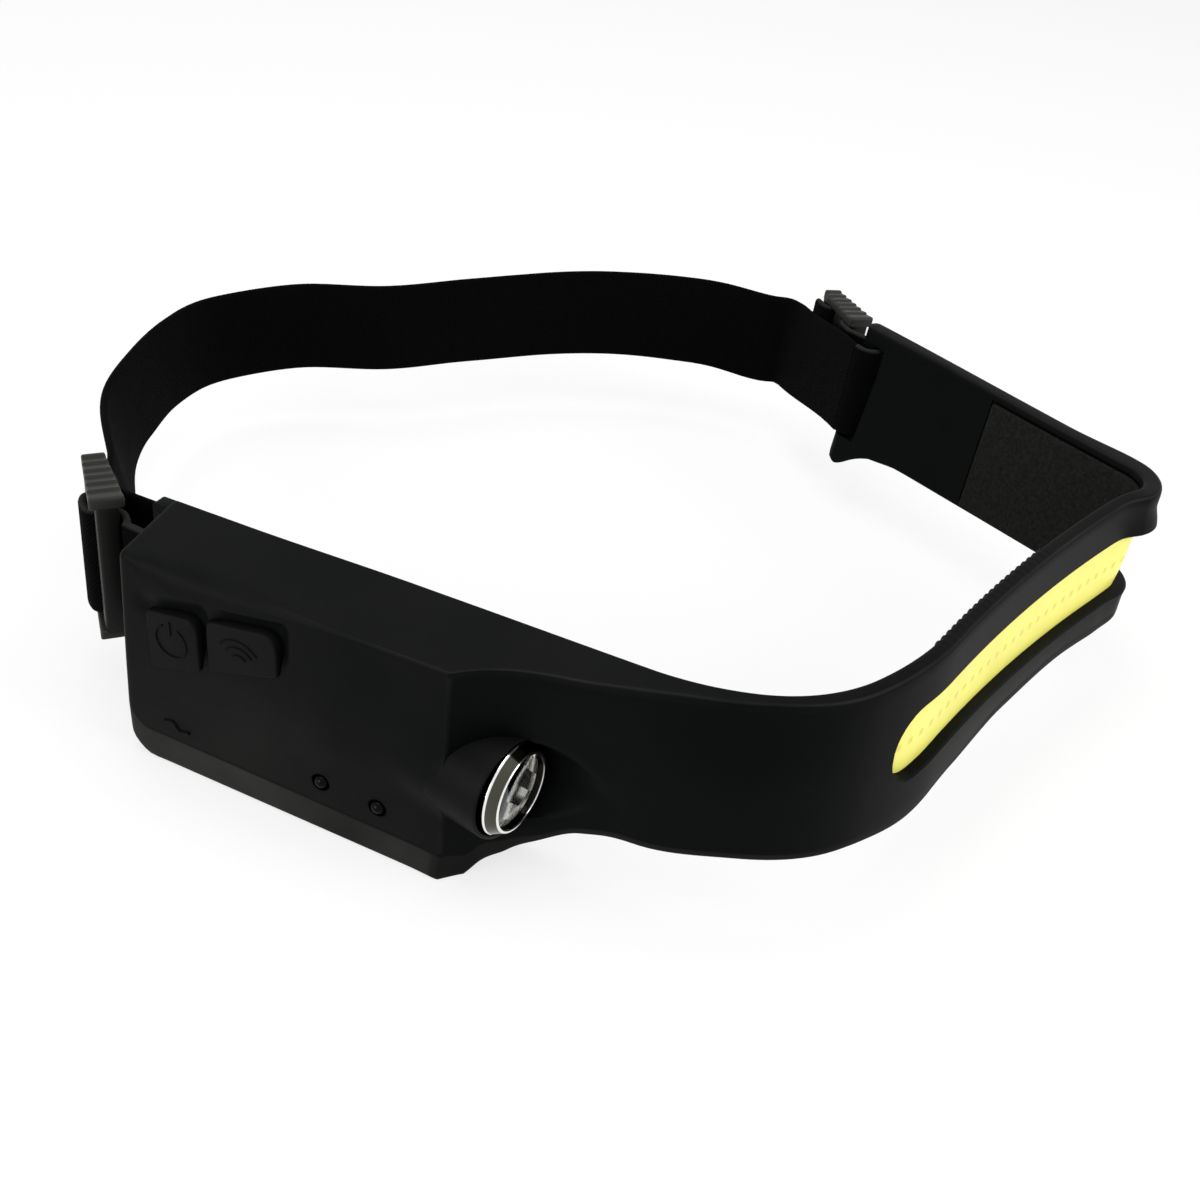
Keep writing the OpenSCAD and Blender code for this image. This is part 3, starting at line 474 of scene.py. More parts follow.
# %% Modelling tools
def loft(bm, rings, capped=True):
    """Join rings of the same count with bridges and return the vertices of each ring."""
    rows, loops = [], []
    for ring in rings:
        verts = [bm.verts.new(p) for p in ring]
        rows.append(verts)
        loops.append([bm.edges.new(pair) for pair in zip(verts, verts[1:] + verts[:1])])
    for near, far in zip(loops, loops[1:]):
        bmesh.ops.bridge_loops(bm, edges=near + far)
    if capped:
        for loop in (loops[0], loops[-1]):
            bmesh.ops.contextual_create(bm, geom=loop)
    bmesh.ops.recalc_face_normals(bm, faces=bm.faces)
    return rows


def keep(bm, name, slot, body, crease=35):
    """Make a piece of a bmesh in millimetres. A piece that blends between bodies is given no body here."""
    bmesh.ops.scale(bm, vec=(MM, MM, MM), verts=bm.verts)
    mesh = bpy.data.meshes.new(name)
    bm.to_mesh(mesh)
    bm.free()
    mesh.shade_smooth()
    mesh.set_sharp_from_angle(angle=radians(crease))
    mesh.materials.append(finishes[slot])
    piece = bpy.data.objects.new(name, mesh)
    scene.collection.objects.link(piece)
    if body:
        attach(piece, body)
    print(name, len(mesh.polygons), "faces")
    return piece


def edges_of(verts):
    return list(dict.fromkeys(edge for v in verts for edge in v.link_edges))


def round_edges(bm, edges, reach, clamp=False):
    bmesh.ops.bevel(
        bm, geom=edges, offset=reach, offset_type="OFFSET", affect="EDGES", segments=3, profile=0.5, material=-1,
        clamp_overlap=clamp,
    )


def moved_verts(geom):
    """The vertices among what an operator hands back."""
    return [v for v in geom if isinstance(v, bmesh.types.BMVert)]


def lay_uv(bm, layer, spots):
    """Give every corner of every face the UV place of its vertex."""
    for face in bm.faces:
        for loop in face.loops:
            loop[layer].uv = spots[loop.vert]


def corner(before, at, after, reach, steps):
    """A rounded corner: points on a curve that leaves one side and joins the next."""
    a, b, c = Vector(before), Vector(at), Vector(after)
    p = b + (a - b).normalized() * min(reach, 0.45 * (a - b).length)
    q = b + (c - b).normalized() * min(reach, 0.45 * (c - b).length)
    return [p * (1 - t) ** 2 + b * (2 * t * (1 - t)) + q * t**2 for t in (k / steps for k in range(steps + 1))]


def round_slab(corners, reach):
    """A ring of four points with each corner rounded."""
    return [p for k in range(4) for p in corner(corners[k - 1], corners[k], corners[(k + 1) % 4], reach, 3)]


def read_off(marks, at):
    """Value at a place between marks, eased from one mark to the next."""
    for (a, low), (b, high) in zip(marks, marks[1:]):
        if at <= b:
            return mix(low, high, ease(a, b, at))
    return marks[-1][1]


print("tools ready")

# %% [markdown]
# ## Headband: the form of its cross-section
# The moulding is one piece of silicone, from the skin of the battery box to the end of the side. Its outer face is
# read as a height above the inner face. The box front breaks along a slanting ridge, the end of the box hollows out
# into the band, and the barrel of the spot lamp swells out of the box. A soft maximum joins them as rubber does, and
# a scoop clears the band ahead of the lamp. Sculpting would give these forms too, but not the same ones each run.

# %% Outer face
BOX_LEN, BOX_DEEP, BOX_H, BAND_T, BAND_Z = 58, 14.5, 40, 4.2, 14
FILLET_END, FILLET_RUN, FOOT_RUN = 81, 23, 21
LAMP_S, LAMP_OUT, LAMP_Z, LAMP_TURN, BARREL_R, BEAM_R = 66.6, 9.3, 18.4, radians(12.5), 8.4, 7.8


def arc_radius(run, rise):
    """Radius of an arc that starts level and rises by so much over a run."""
    return (run**2 + rise**2) / (2 * rise)


def soft_max(a, b, k):
    """The larger of two heights, with a fillet where they meet."""
    return 0.5 * (a + b + sqrt((a - b) ** 2 + k * k))


KEYS = {"power": (6.4, 16.0), "sensor": (17.4, 30.0)}


def key_low(s):
    """Height of the slanting lower side of the keys."""
    return 19 + 0.33 * (s - 6.4)


def key_high(s):
    """Height of the slanting upper side of the keys."""
    return 30 + 0.19 * (s - 6.4)


def key_scoop(s, z):
    """Depth of the finger scoop that runs over the top and down the right side of each key."""
    deep = 0
    for s0, s1 in KEYS.values():
        over = ease(s0 - 0.5, s0 + 4, s) * (1 - ease(s1, s1 + 2.2, s)) * (1 - ease(0, 3.4, z - key_high(min(s, s1))))
        beside = ease(key_low(s1) + 0.5, key_low(s1) + 5, z) * (1 - ease(0.3, 2.0, s - s1))
        if z > key_high(s) - 1.2:
            deep = max(deep, over)
        if s > s1 - 0.6 and z < key_high(s1) + 1:
            deep = max(deep, beside)
    return 0.95 * deep


def box_front(s, z):
    """Front of the box and the hollow that runs into the band."""
    if s >= FILLET_END:
        return BAND_T
    if s > BOX_LEN:
        r = arc_radius(FILLET_RUN, BOX_DEEP - BAND_T)
        front = BAND_T + r - sqrt(r * r - (FILLET_END - s) ** 2)
    else:
        front = BOX_DEEP
    ridge = mix(17, 35, s / 57)
    lean = 0.012 * (1 - ease(52, 62, s))
    return front - lean * max(0, ridge - z) - key_scoop(s, z)


def barrel(s, z):
    """Outer side of the lamp barrel, cut off square to the lamp's axis."""
    across = BARREL_R**2 - (z - LAMP_Z) ** 2
    if across <= 0 or not 40 < s < 58.3:
        return -50
    side = LAMP_OUT + (s - LAMP_S) * tan(LAMP_TURN) + sqrt(across) / cos(LAMP_TURN)
    return min(side, LAMP_OUT + (LAMP_S - 0.8 - s) / tan(LAMP_TURN))


def beam_scoop(s, z, band):
    """The band's face cleared for the beam ahead of the lamp."""
    across = BEAM_R**2 - (z - LAMP_Z) ** 2
    if across <= 0 or not 64 < s < 82:
        return band
    clear = LAMP_OUT + (s - LAMP_S) * tan(LAMP_TURN) - sqrt(across) / cos(LAMP_TURN)
    return mix(band, -soft_max(-band, -clear, 0.6), ease(64, 67, s)) if clear < band + 3 else band


def outer_face(s, z):
    """Outer face of the moulding: box, hollow, barrel and band, which thins upwards and fills the tight corner."""
    draft = ease(84, 112, s) * mix(1, 0.6, ease(200, 212, s))
    corner_fill = mix(0.5, 2.2, ease(17, 27, z)) - 1.2 * ease(32, 37, z)
    corner_fill *= ease(195, 203, s) * (1 - ease(209, 224, s))
    band = box_front(s, z) + corner_fill - draft * (0.3 + 1.5 * max(0, (z - BAND_Z) / 26))
    band = beam_scoop(s, z, band)
    swell = barrel(s, z)
    return soft_max(band, swell, 0.7 * ease(42, 50, s)) if swell > band - 6 else band


print("front of the box", box_front(20, 30), "mm, barrel at the lamp", round(barrel(57, LAMP_Z), 1), "mm")

# %% [markdown]
# ## Headband: its edges
# Rubber doesn't hang straight. The lower edge sags in slow waves, and the upper edge swells beside the box and thins
# where the band bends. Short tables of marks along the line hold both, because each mark can be moved on its own.

# %% Edges of the section
STRIP_S0, STRIP_END, CHANNEL_MID, CHANNEL_R, CHANNEL_FLOOR = 120, 226, 26, 6.3, 0.9
RIB_S0, RIB_END, RIB_PITCH = 130, 168, 1.9
FLARE_RUN, FLARE_DROP, FLARE_TOP, FLARE_ROUND = 16, 8.2, 15.2, 3.5
SAG = (
    (58, 0), (62, 2.2), (66, 3.8), (70, 4.3), (76, 3.5), (84, 2.4), (98, 1.0), (112, 1.5), (128, 3.2), (142, 2.5),
    (160, 0.8), (180, 0.1), (198, 0.9), (206, 0.6), (214, -1.2), (256, -1.2), (266, 0),
)
RIDGE = ((58, 39), (73, 39), (90, 40.25), (98, 40.3), (110, 40))
RIDGE_OUT = ((58, 0), (74, 1.4), (91, -0.95), (97, -1.0), (112, 0))


def lower_edge(s):
    """Height of the lower edge of the moulding, with the waves that the soft band falls into."""
    if s < 60:
        return 0
    sag = read_off(SAG, s)
    if s < FILLET_END:
        r = arc_radius(FOOT_RUN, BAND_Z)
        return max(0, BAND_Z - sag - r + sqrt(r * r - (FILLET_END - s) ** 2))
    flare = BAND_END - FLARE_RUN
    if s > flare:
        r = arc_radius(FLARE_RUN, FLARE_DROP)
        reach = max(0, min(FLARE_ROUND - 0.1, s - BAND_END + FLARE_ROUND))
        rounding = FLARE_ROUND - sqrt(FLARE_ROUND**2 - reach**2)
        return rounding + min(BAND_Z - sag, FLARE_TOP - r + sqrt(r * r - min(FLARE_RUN, s - flare) ** 2))
    return BAND_Z - sag


def upper_front(s):
    """Height of the edge between the top and the front."""
    return mix(38.4, 39, s / BOX_LEN) if s < BOX_LEN else read_off(RIDGE, s)


def front_face(s, z):
    """Outer face with its upper edge drawn out beside the box and in where the band bends."""
    return outer_face(s, z) + read_off(RIDGE_OUT, s) * ease(24, 38, z)


def channel_half(s):
    """Half height of the light-strip recess, with round ends."""
    inset = min(s - STRIP_S0, STRIP_END - s)
    if inset >= CHANNEL_R:
        return CHANNEL_R
    return sqrt(max(0.36, CHANNEL_R**2 - (CHANNEL_R - inset) ** 2)) if inset > 0 else 0.6


def rib(s):
    """Depth of the grip ribs on the inside of the front."""
    if not RIB_S0 < s < RIB_END:
        return 0
    return 0.7 * max(0, 0.5 * (1 - cos(2 * pi * (s - RIB_S0) / RIB_PITCH)) - 0.3)


print("recess half height at its middle", channel_half(170), "mm")

# %% Section ring
LIP, FLOOR_COUNT, RING_START = 11, 9, 27
WALL = ((0.5, 0.0), (0.15, 0.12), (0.0, 0.45), (-0.05, 1.0))
PAD_S0, PAD_LEN, PAD_DEEP, PAD_RIM = 203.5, 36.8, 0.3, 1.4


def front_heights(s, low, high):
    """Heights down the outer face and the depth of the recess at each, even on the box and set by the recess beyond."""
    inside = STRIP_S0 < s < STRIP_END
    half = channel_half(s)
    top, foot = CHANNEL_MID + half, CHANNEL_MID - half
    marks = [(mix(high, top + WALL[0][0], k / LIP), 0) for k in range(LIP)]
    marks += [(top + rise, deep) for rise, deep in WALL]
    marks += [(mix(top, foot, (k + 1) / (FLOOR_COUNT + 1)), 1) for k in range(FLOOR_COUNT)]
    marks += [(foot - rise, deep) for rise, deep in reversed(WALL)]
    marks += [(mix(foot - WALL[0][0], low, (k + 1) / LIP), 0) for k in range(LIP)]
    even = ease(112, 78, s) if s < 112 else 0
    count = len(marks) - 1
    return [
        (mix(z, mix(high, low, (k / count) ** 1.2), even), deep if inside else 0) for k, (z, deep) in enumerate(marks)
    ]


def section(s, lift=0.0, inset=0.0):
    """Ring of (out, z) round the moulding at one station, from the middle of the inner face upwards."""
    low, front = lower_edge(s) + lift, upper_front(s)
    inner = -rib(s)
    pad = PAD_DEEP if PAD_S0 < s < PAD_S0 + PAD_LEN else 0
    facet = mix(0.6, -0.7, min(1, s / 57)) * (1 - ease(57, 62, s))
    facet_top = low + mix(mix(6.2, 4.4, min(1, s / 57)), 1.2, ease(58, 72, s))
    soften = mix(1, 4.2, ease(3.5, 12, s)) if s < 12 else mix(mix(4.2, 0.7, ease(12, 44, s)), 1.0, ease(62, 84, s))
    crown = mix(0.3, 0.7, ease(15, 45, s)) * (1 - ease(196, 206, s))
    top_in, top_out, bottom_in = (0.6 * inner, BOX_H + crown), (front_face(s, front), front), (inner, low)
    facet_edge = (outer_face(s, facet_top), facet_top)
    bottom_out = (facet_edge[0] - facet, low)
    groove = [(inner + pad, BOX_H - PAD_RIM - 0.4), (inner, BOX_H - PAD_RIM)]
    ring = [(inner + pad, RING_START)] + groove
    ring += corner(groove[1], top_in, top_out, 0.7, 3)
    ring += corner(top_in, top_out, (top_out[0], front - 12), soften, 5)
    for z, deep in front_heights(s, facet_top + 0.6, ring[-1][1] - 0.4):
        ring.append((mix(front_face(s, z), CHANNEL_FLOOR, deep), z))
    ring += corner((facet_edge[0], facet_top + 3), facet_edge, bottom_out, 0.5, 3)
    ring += corner(facet_edge, bottom_out, bottom_in, 0.8, 3)
    groove = [(inner, low + PAD_RIM), (inner + pad, low + PAD_RIM + 0.4)]
    ring += corner(bottom_out, bottom_in, groove[0], 0.7, 3) + groove
    if inset:
        mid_out, mid_z = (top_out[0] + inner) / 2, (BOX_H + low) / 2
        near_out, near_z = 1 - 2 * inset / (top_out[0] - inner), 1 - 2 * inset / (BOX_H - low)
        ring = [(mid_out + (p[0] - mid_out) * near_out, mid_z + (p[1] - mid_z) * near_z) for p in ring]
    return ring


print(len(section(30)), "points in a ring")

# %% [markdown]
# ## Headband: the loft
# Stations are close where the form changes fast, such as the lamp, the round ends of the recess and the grip ribs,
# and far apart on straight runs. The left end of the box leans, so its first rings follow that slant and draw in for a
# rounded edge. Lighter places are numbers on the vertices, given by where each one lies on its ring: partly wear, and
# partly painted light and painted highlight on the facets, crest and lips that the light falls on.

# %% Stations
def span(a, b, step):
    """Even places from one mark up to the next, which is left out."""
    count = max(1, round((b - a) / step))
    return [a + (b - a) * k / count for k in range(count)]


round_end = [CHANNEL_R * (1 - cos(radians(a))) for a in (3, 8, 15, 23, 32, 42, 52, 63, 75, 88)]
stations = span(8, 34, 0.5) + span(34, 57, 0.9) + [57, 57.5, 57.8, 58.1, 58.5]
stations += span(59, 64, 0.45) + span(64, 69, 0.25) + span(69, 80, 0.4) + span(80, 84, 0.8)
stations += span(84, STRIP_S0, 1.2) + [STRIP_S0 - 0.02] + [STRIP_S0 + d for d in round_end]
stations += span(126, RIB_S0, 0.8) + span(RIB_S0, RIB_END, 0.38) + span(RIB_END, 199.8, 1.2) + span(199.8, 203.4, 0.4)
stations += [PAD_S0 - 0.02, PAD_S0 + 0.02] + span(203.8, 209, 0.4) + span(209, 220.1, 1.2)
stations += [STRIP_END - d for d in reversed(round_end)] + [STRIP_END + 0.02] + span(228, 240, 2.4)
stations += [PAD_S0 + PAD_LEN - 0.02, PAD_S0 + PAD_LEN + 0.02] + span(242, 257.5, 3)
stations += span(257.5, BAND_END - 4, 0.9) + span(BAND_END - 4, BAND_END, 0.4)
print(len(stations), "stations")

# %% Rings of the moulding
LEFT_END = ((0, 1.1), (0.12, 0.7), (0.35, 0.35), (0.7, 0.1), (1.2, 0), (2, 0), (3, 0), (4.2, 0), (5.6, 0))
BAND_HALF = BAND_T / 2


def slant(d, out, z):
    """Place along the line of a point on the left end, which leans with depth and with height."""
    return d + (0.6 + 0.9 * out / BOX_DEEP - 1.1 * (1 - z / BOX_H)) * (1 - d / 8)


rings = []
for d, inset in LEFT_END:
    ring = section(3 + d, 4 * max(0, 1 - d / 5) ** 2, inset)
    rings.append([on_band(slant(d, out, z), out, z) for out, z in ring])
rings += [[on_band(s, out, z) for out, z in section(s)] for s in stations]
for a in (0, 25, 48, 68, 82):
    thin = cos(radians(a))
    ring = section(BAND_END - 0.01, 2.2 * (1 - thin), 1.2 * (1 - thin))
    tip = BAND_END + 2 * sin(radians(a))
    rings.append([on_band(tip, BAND_HALF + (out - BAND_HALF) * thin, z) for out, z in ring])
print(len(rings), "rings")

# %% Loft the moulding
BACK_EDGE, TOP_FROM, CREST, FRONT_FROM, FRONT_TO, FACET_FROM, FACET_TO = (4, 5), 3, 9, 13, 52, 54, 59


def wear_and_highlight_at(s, j, z):
    """How much a place on the moulding is lightened, by wear, painted light and painted highlight: its crest, its
    edges, its lips, its facet and all of the box.
    """
    # The whole box and the top faces are painted a little lighter than the band: painted light.
    wear_and_highlight = 0.035 if s < 57.6 or TOP_FROM <= j < FRONT_FROM else 0.0
    # The crest is painted lighter along its length: a painted highlight line.
    if j == CREST:
        wear_and_highlight += mix(0.02, 0.22, ease(12, 54, s)) if s < BOX_LEN else 0.3
    elif j in BACK_EDGE:
        wear_and_highlight += 0.15
    # The lower facet faces the pale floor and is painted lighter: painted light.
    elif FACET_FROM <= j < FACET_TO:
        wear_and_highlight += 0.4 if s < 57 else 0.16
    # The lower lip of the recess is painted pale, a painted highlight, and the right edge of the box gets a painted
    # highlight too.
    elif FRONT_FROM <= j < FRONT_TO:
        lip = ease(128, 150, s) * (1 - ease(206, 222, s))
        wear_and_highlight += lip * (0.12 + 0.35 * (1 - ease(15, 20, z))) + (0.12 if 57.7 < s < 58.2 else 0)
        # The lower part of the box front is painted lighter: painted light from the floor.
        wear_and_highlight += 0.07 * (1 - ease(12, 32, z)) * (1 - ease(50, 57, s))
    return wear_and_highlight


bm = bmesh.new()
wear_highlight_layer = bm.verts.layers.float.new("wear_and_highlight")
for k, row in enumerate(loft(bm, rings)):
    s = 4 if k < len(LEFT_END) else stations[min(k - len(LEFT_END), len(stations) - 1)]
    for j, v in enumerate(row):
        v[wear_highlight_layer] = wear_and_highlight_at(s, j, v.co.z)
headband = keep(bm, "headband_skin", "silicone", "headlamp", 30)
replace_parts(headband, "headband")

# %% [markdown]
# ## Headband: what is cut out of it
# The moulding is hollow. A Boolean with a plain cutter is the direct way to open the cavity, the key holes, the bore
# of the lamp, the recess for the strap and the window round the end bar, because each is a simple shape crossing a free
# form. The cutters are removed once their cuts are in the mesh.

# %% Cutters on the box
along, outward = Vector((cos(HEADING), sin(HEADING), 0)), Vector((sin(HEADING), -cos(HEADING), 0))
FACE = Matrix((along, Vector((0, 0, 1)), outward)).transposed().to_4x4()
FACE.translation = on_band(0, 0, 0)


def block(bm, s0, s1, out0, out1, z0, z1):
    """A box in directions along the battery box, upward and outward."""
    size = Matrix.Diagonal((s1 - s0, z1 - z0, out1 - out0, 1))
    place = Matrix.Translation(((s0 + s1) / 2, (z0 + z1) / 2, (out0 + out1) / 2))
    return bmesh.ops.create_cube(bm, size=1, matrix=FACE @ place @ size)["verts"]


def cutter(bm):
    """An object to cut with, of a bmesh in millimetres."""
    bmesh.ops.recalc_face_normals(bm, faces=bm.faces)
    bmesh.ops.scale(bm, vec=(MM, MM, MM), verts=bm.verts)
    mesh = bpy.data.meshes.new("cutter")
    bm.to_mesh(mesh)
    bm.free()
    tool = bpy.data.objects.new("cutter", mesh)
    scene.collection.objects.link(tool)
    return tool


HOLLOWS = {
    "cavity": (5.4, 53, 1.5, 12.5, 5.5, 36.5),
    "cover_seat": (4.2, 54.2, -1, 2.2, 4.3, 37.7),
    "flap_seat": (5.75, 17.85, 2.15, 8.85, -1, 1.95),
    "socket_hole": (7.1, 16.5, 3.2, 7.0, -1, 6.5),
    "strap_recess": (-3, 4.0, -1.5, 3.2, 12.4, 34.3),
}
cutters = []
for sizes in HOLLOWS.values():
    bm = bmesh.new()
    block(bm, *sizes)
    cutters.append(cutter(bm))
print(*HOLLOWS)

# %% Cutters for the keys
def key_outline(name, tight=0.0, room=0.0):
    """Outline of a key on the box front as (s, z), grown at the lower left and at the upper right by a gap each."""
    s0, s1 = KEYS[name][0] - tight, KEYS[name][1] + room
    points = [(s0, key_low(s0) - tight), (s1, key_low(s1) - tight)]
    points += [(s1, key_high(s1) + room), (s0, key_high(s0) + room)]
    outline = []
    for k, reach in enumerate((0.5, 0.8, 3.2, 1.0)):
        outline += corner(points[k - 1], points[k], points[(k + 1) % 4], reach + room, 6)
    return outline


def slab(bm, outline, out0, out1):
    """An outline on the box front, pushed from one depth to another. Returns the front vertices."""
    verts = [bm.verts.new((p[0], p[1], out0)) for p in outline]
    face = bm.faces.new(verts)
    moved = moved_verts(bmesh.ops.extrude_face_region(bm, geom=[face])["geom"])
    bmesh.ops.translate(bm, verts=moved, vec=(0, 0, out1 - out0))
    return moved


for name in KEYS:
    bm = bmesh.new()
    slab(bm, key_outline(name, 0.02, 0.25), 12, 17)
    bmesh.ops.transform(bm, matrix=FACE, verts=bm.verts)
    cutters.append(cutter(bm))
print("key holes ready")

# %% Cutters for the domes
DOMES = {"ir_emitter": (37, 9.5), "ir_receiver": (47, 9.0)}
for s, z in DOMES.values():
    bm = bmesh.new()
    place = FACE @ Matrix.Translation((s, z, 14))
    bmesh.ops.create_cone(bm, cap_ends=True, segments=48, radius1=1.5, radius2=1.62, depth=4, matrix=place)
    cutters.append(cutter(bm))
print("dome holes ready")

# %% Cutter for the lamp
def lamp_frame(turn):
    """Frame at the lamp with its third axis along the beam."""
    beam = Vector((cos(turn), 0, sin(turn)))
    return FACE @ Matrix.Translation((LAMP_S, LAMP_Z, LAMP_OUT)) @ beam.to_track_quat("Z", "Y").to_matrix().to_4x4()


FRONT_TURN = LAMP_TURN - radians(7)
LAMP, LAMP_FRONT = lamp_frame(LAMP_TURN), lamp_frame(FRONT_TURN)


def turned_piece(bm, profile, steps=96, closed=False, place=LAMP):
    """Spin a profile of (radius, height) about an axis and move it into place."""
    verts = [bm.verts.new((r, 0, z)) for r, z in profile]
    pairs = list(zip(verts, verts[1:])) + ([(verts[-1], verts[0])] if closed else [])
    edges = [bm.edges.new(pair) for pair in pairs]
    bmesh.ops.spin(bm, geom=verts + edges, axis=(0, 0, 1), cent=(0, 0, 0), angle=2 * pi, steps=steps, use_merge=True)
    bmesh.ops.remove_doubles(bm, verts=bm.verts, dist=0.0001)
    bmesh.ops.recalc_face_normals(bm, faces=bm.faces)
    bmesh.ops.transform(bm, matrix=place, verts=bm.verts)


bm = bmesh.new()
bore = ((0, -12.1), (5.3, -12.1), (5.3, -10), (7, -4), (BEAM_R, -3.2), (BEAM_R, 1.9), (7.6, 2.6), (0, 2.6))
turned_piece(bm, bore)
cutters.append(cutter(bm))
print("lamp bore ready")

# %% Right end of the strap
RIGHT_MID, BAR_R, WINDOW_R, WINDOW_H = 26, 1.8, 5.2, 21
RIGHT_BAR = on_band(BAND_END, BAND_HALF, SIDE_MID)
RIGHT_BAR.z = 0
RIGHT = Matrix.Translation(RIGHT_BAR) @ Matrix.Rotation(radians(112), 4, "Z") @ Matrix.Diagonal((1, -1, 1, 1))
raise_mid = Matrix.Translation((0, 0, SIDE_MID))
RIGHT_LEAN = RIGHT @ raise_mid @ Matrix.Rotation(-0.06, 4, "X") @ raise_mid.inverted() @ RIGHT.inverted()
print("right bar at", [round(c, 1) for c in RIGHT_BAR])

# %% Cutter for the end window
bm = bmesh.new()
place = Matrix.Translation(RIGHT_BAR + Vector((0, 0, RIGHT_MID - WINDOW_H / 2)))
ends = []
for radius in (BAR_R, WINDOW_R):
    ends += edges_of(bmesh.ops.create_circle(bm, segments=48, radius=radius, matrix=place)["verts"])
ring = bmesh.ops.bridge_loops(bm, edges=ends)["faces"]
raised = bmesh.ops.extrude_face_region(bm, geom=ring)["geom"]
bmesh.ops.translate(bm, vec=(0, 0, WINDOW_H), verts=moved_verts(raised))
bmesh.ops.transform(bm, matrix=RIGHT_LEAN, verts=bm.verts)
cutters.append(cutter(bm))
print("end window ready")

# %% Cut the moulding
for tool in cutters:
    cut = headband.modifiers.new("cut", "BOOLEAN")
    cut.object, cut.operation, cut.solver = tool, "DIFFERENCE", "EXACT"
shape = headband.evaluated_get(bpy.context.evaluated_depsgraph_get())
carved = bpy.data.meshes.new_from_object(shape)
headband.modifiers.clear()
old, headband.data = headband.data, carved
bpy.data.meshes.remove(old)
for tool in cutters:
    bpy.data.meshes.remove(tool.data)
carved.name = "headband_skin"
carved.set_sharp_from_angle(angle=radians(32))
weighted = headband.modifiers.new("flat_faces", "WEIGHTED_NORMAL")
weighted.keep_sharp = True
print("moulding cut:", len(carved.polygons), "faces")

# %% [markdown]
# ## Lugs behind the box
# Two short lugs at the back of the left end carry a round post, and the strap goes round it in a recess of the box.
# They are part of the moulding, so they take its finish. Bevelled boxes and a capped tube are all they need.

# %% Lugs
LEFT_MID, LEFT_POST, SOFT_EDGE = 23.3, on_band(-0.2, -1.1, 0), 0.5
bm = bmesh.new()
for low_out, low_z, high_z in ((-2.2, LEFT_MID - 13, LEFT_MID - 10.8), (-0.6, 36.4, 39.7)):
    round_edges(bm, edges_of(block(bm, -1.7, 3, low_out, 2.5, low_z, high_z)), SOFT_EDGE)
place = Matrix.Translation(LEFT_POST + Vector((0, 0, LEFT_MID - 1.3)))
post = bmesh.ops.create_cone(bm, cap_ends=True, segments=32, radius1=BAR_R, radius2=BAR_R, depth=21, matrix=place)
rims = [e for e in edges_of(post["verts"]) if abs(e.verts[0].co.z - e.verts[1].co.z) < 0.01]
round_edges(bm, rims, SOFT_EDGE)
keep(bm, "left_lugs", "silicone", "headlamp")

# %% [markdown]
# ## Keys
# Each key is a wedge: flush with the box at its lower left and standing proud at its upper right, where the finger
# finds it. A sheared cube would come close, but the corners differ, so an outline with its own roundings is pushed
# outward and then tilted. A bevel softens its rim.

# %% Keys
def key_front(name, s, z):
    """Height of a key's sloping front: level with the box at the lower left, proud at the upper right."""
    s0, s1 = KEYS[name]
    rise = (z - key_low(s)) / (key_high(s) - key_low(s))
    return BOX_DEEP - 0.02 + 0.55 * (s - s0) / (s1 - s0) + 0.45 * rise


for name in KEYS:
    bm = bmesh.new()
    wear_highlight_layer = bm.verts.layers.float.new("wear_and_highlight")
    front = slab(bm, key_outline(name), 11.9, 15)
    for v in front:
        v.co.z = key_front(name, v.co.x, v.co.y)
    rim = []
    for e in bm.edges:
        mid = (e.verts[0].co + e.verts[1].co) / 2
        if e.verts[0] in front and e.verts[1] in front and (mid.x > KEYS[name][1] - 1 or mid.y > key_high(mid.x) - 1):
            rim.append(e)
    round_edges(bm, rim, 0.3, clamp=True)
    bmesh.ops.transform(bm, matrix=FACE, verts=bm.verts)
    bmesh.ops.recalc_face_normals(bm, faces=bm.faces)
    for v in bm.verts:
        v[wear_highlight_layer] = 0.065
    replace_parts(keep(bm, name + "_key_cap", "silicone", name + "_key"), name + "_button")

# %% [markdown]
# ## Marks on the keys
# A power sign and a fan of arcs stand on the keys as thin raised lines. An image of them would stay flat, so they are
# modelled: a small circle spun part of the way round makes an arc of tube, half sunk in the key, which catches light.

# %% Marks
def raised_arc(bm, plane, radius, start, sweep, wire=0.2):
    """A piece of ring in a plane, by degrees from its x axis."""
    first = Matrix.Rotation(radians(start), 4, "Z") @ Matrix.Translation((radius, 0, 0))
    first = first @ Matrix.Rotation(pi / 2, 4, "X")
    verts = bmesh.ops.create_circle(bm, cap_ends=True, segments=10, radius=wire, matrix=first)["verts"]
    face = list({f for v in verts for f in v.link_faces})
    before = set(bm.verts)
    steps = max(3, round(abs(sweep) / 9))
    bmesh.ops.spin(bm, geom=face, axis=(0, 0, 1), cent=(0, 0, 0), angle=radians(sweep), steps=steps)
    made = [v for v in bm.verts if v not in before] + verts
    bmesh.ops.transform(bm, matrix=plane, verts=made)


def raised_bar(bm, plane, a, b, wire=0.2):
    """A straight raised line between two points of a plane."""
    run = Vector((b[0] - a[0], b[1] - a[1], 0))
    place = plane @ Matrix.Translation(((a[0] + b[0]) / 2, (a[1] + b[1]) / 2, 0))
    place = place @ run.to_track_quat("Z", "Y").to_matrix().to_4x4()
    bmesh.ops.create_cone(bm, cap_ends=True, segments=10, radius1=wire, radius2=wire, depth=run.length, matrix=place)


def key_plane(name, s, z):
    """A plane on the key's sloping front, with x along the box and y up."""
    at = Vector((s, z, key_front(name, s, z)))
    x = (Vector((s + 1, z, key_front(name, s + 1, z))) - at).normalized()
    y = (Vector((s, z + 1, key_front(name, s, z + 1))) - at).normalized()
    plane = Matrix((x, y, x.cross(y))).transposed().to_4x4()
    plane.translation = at
    return FACE @ plane


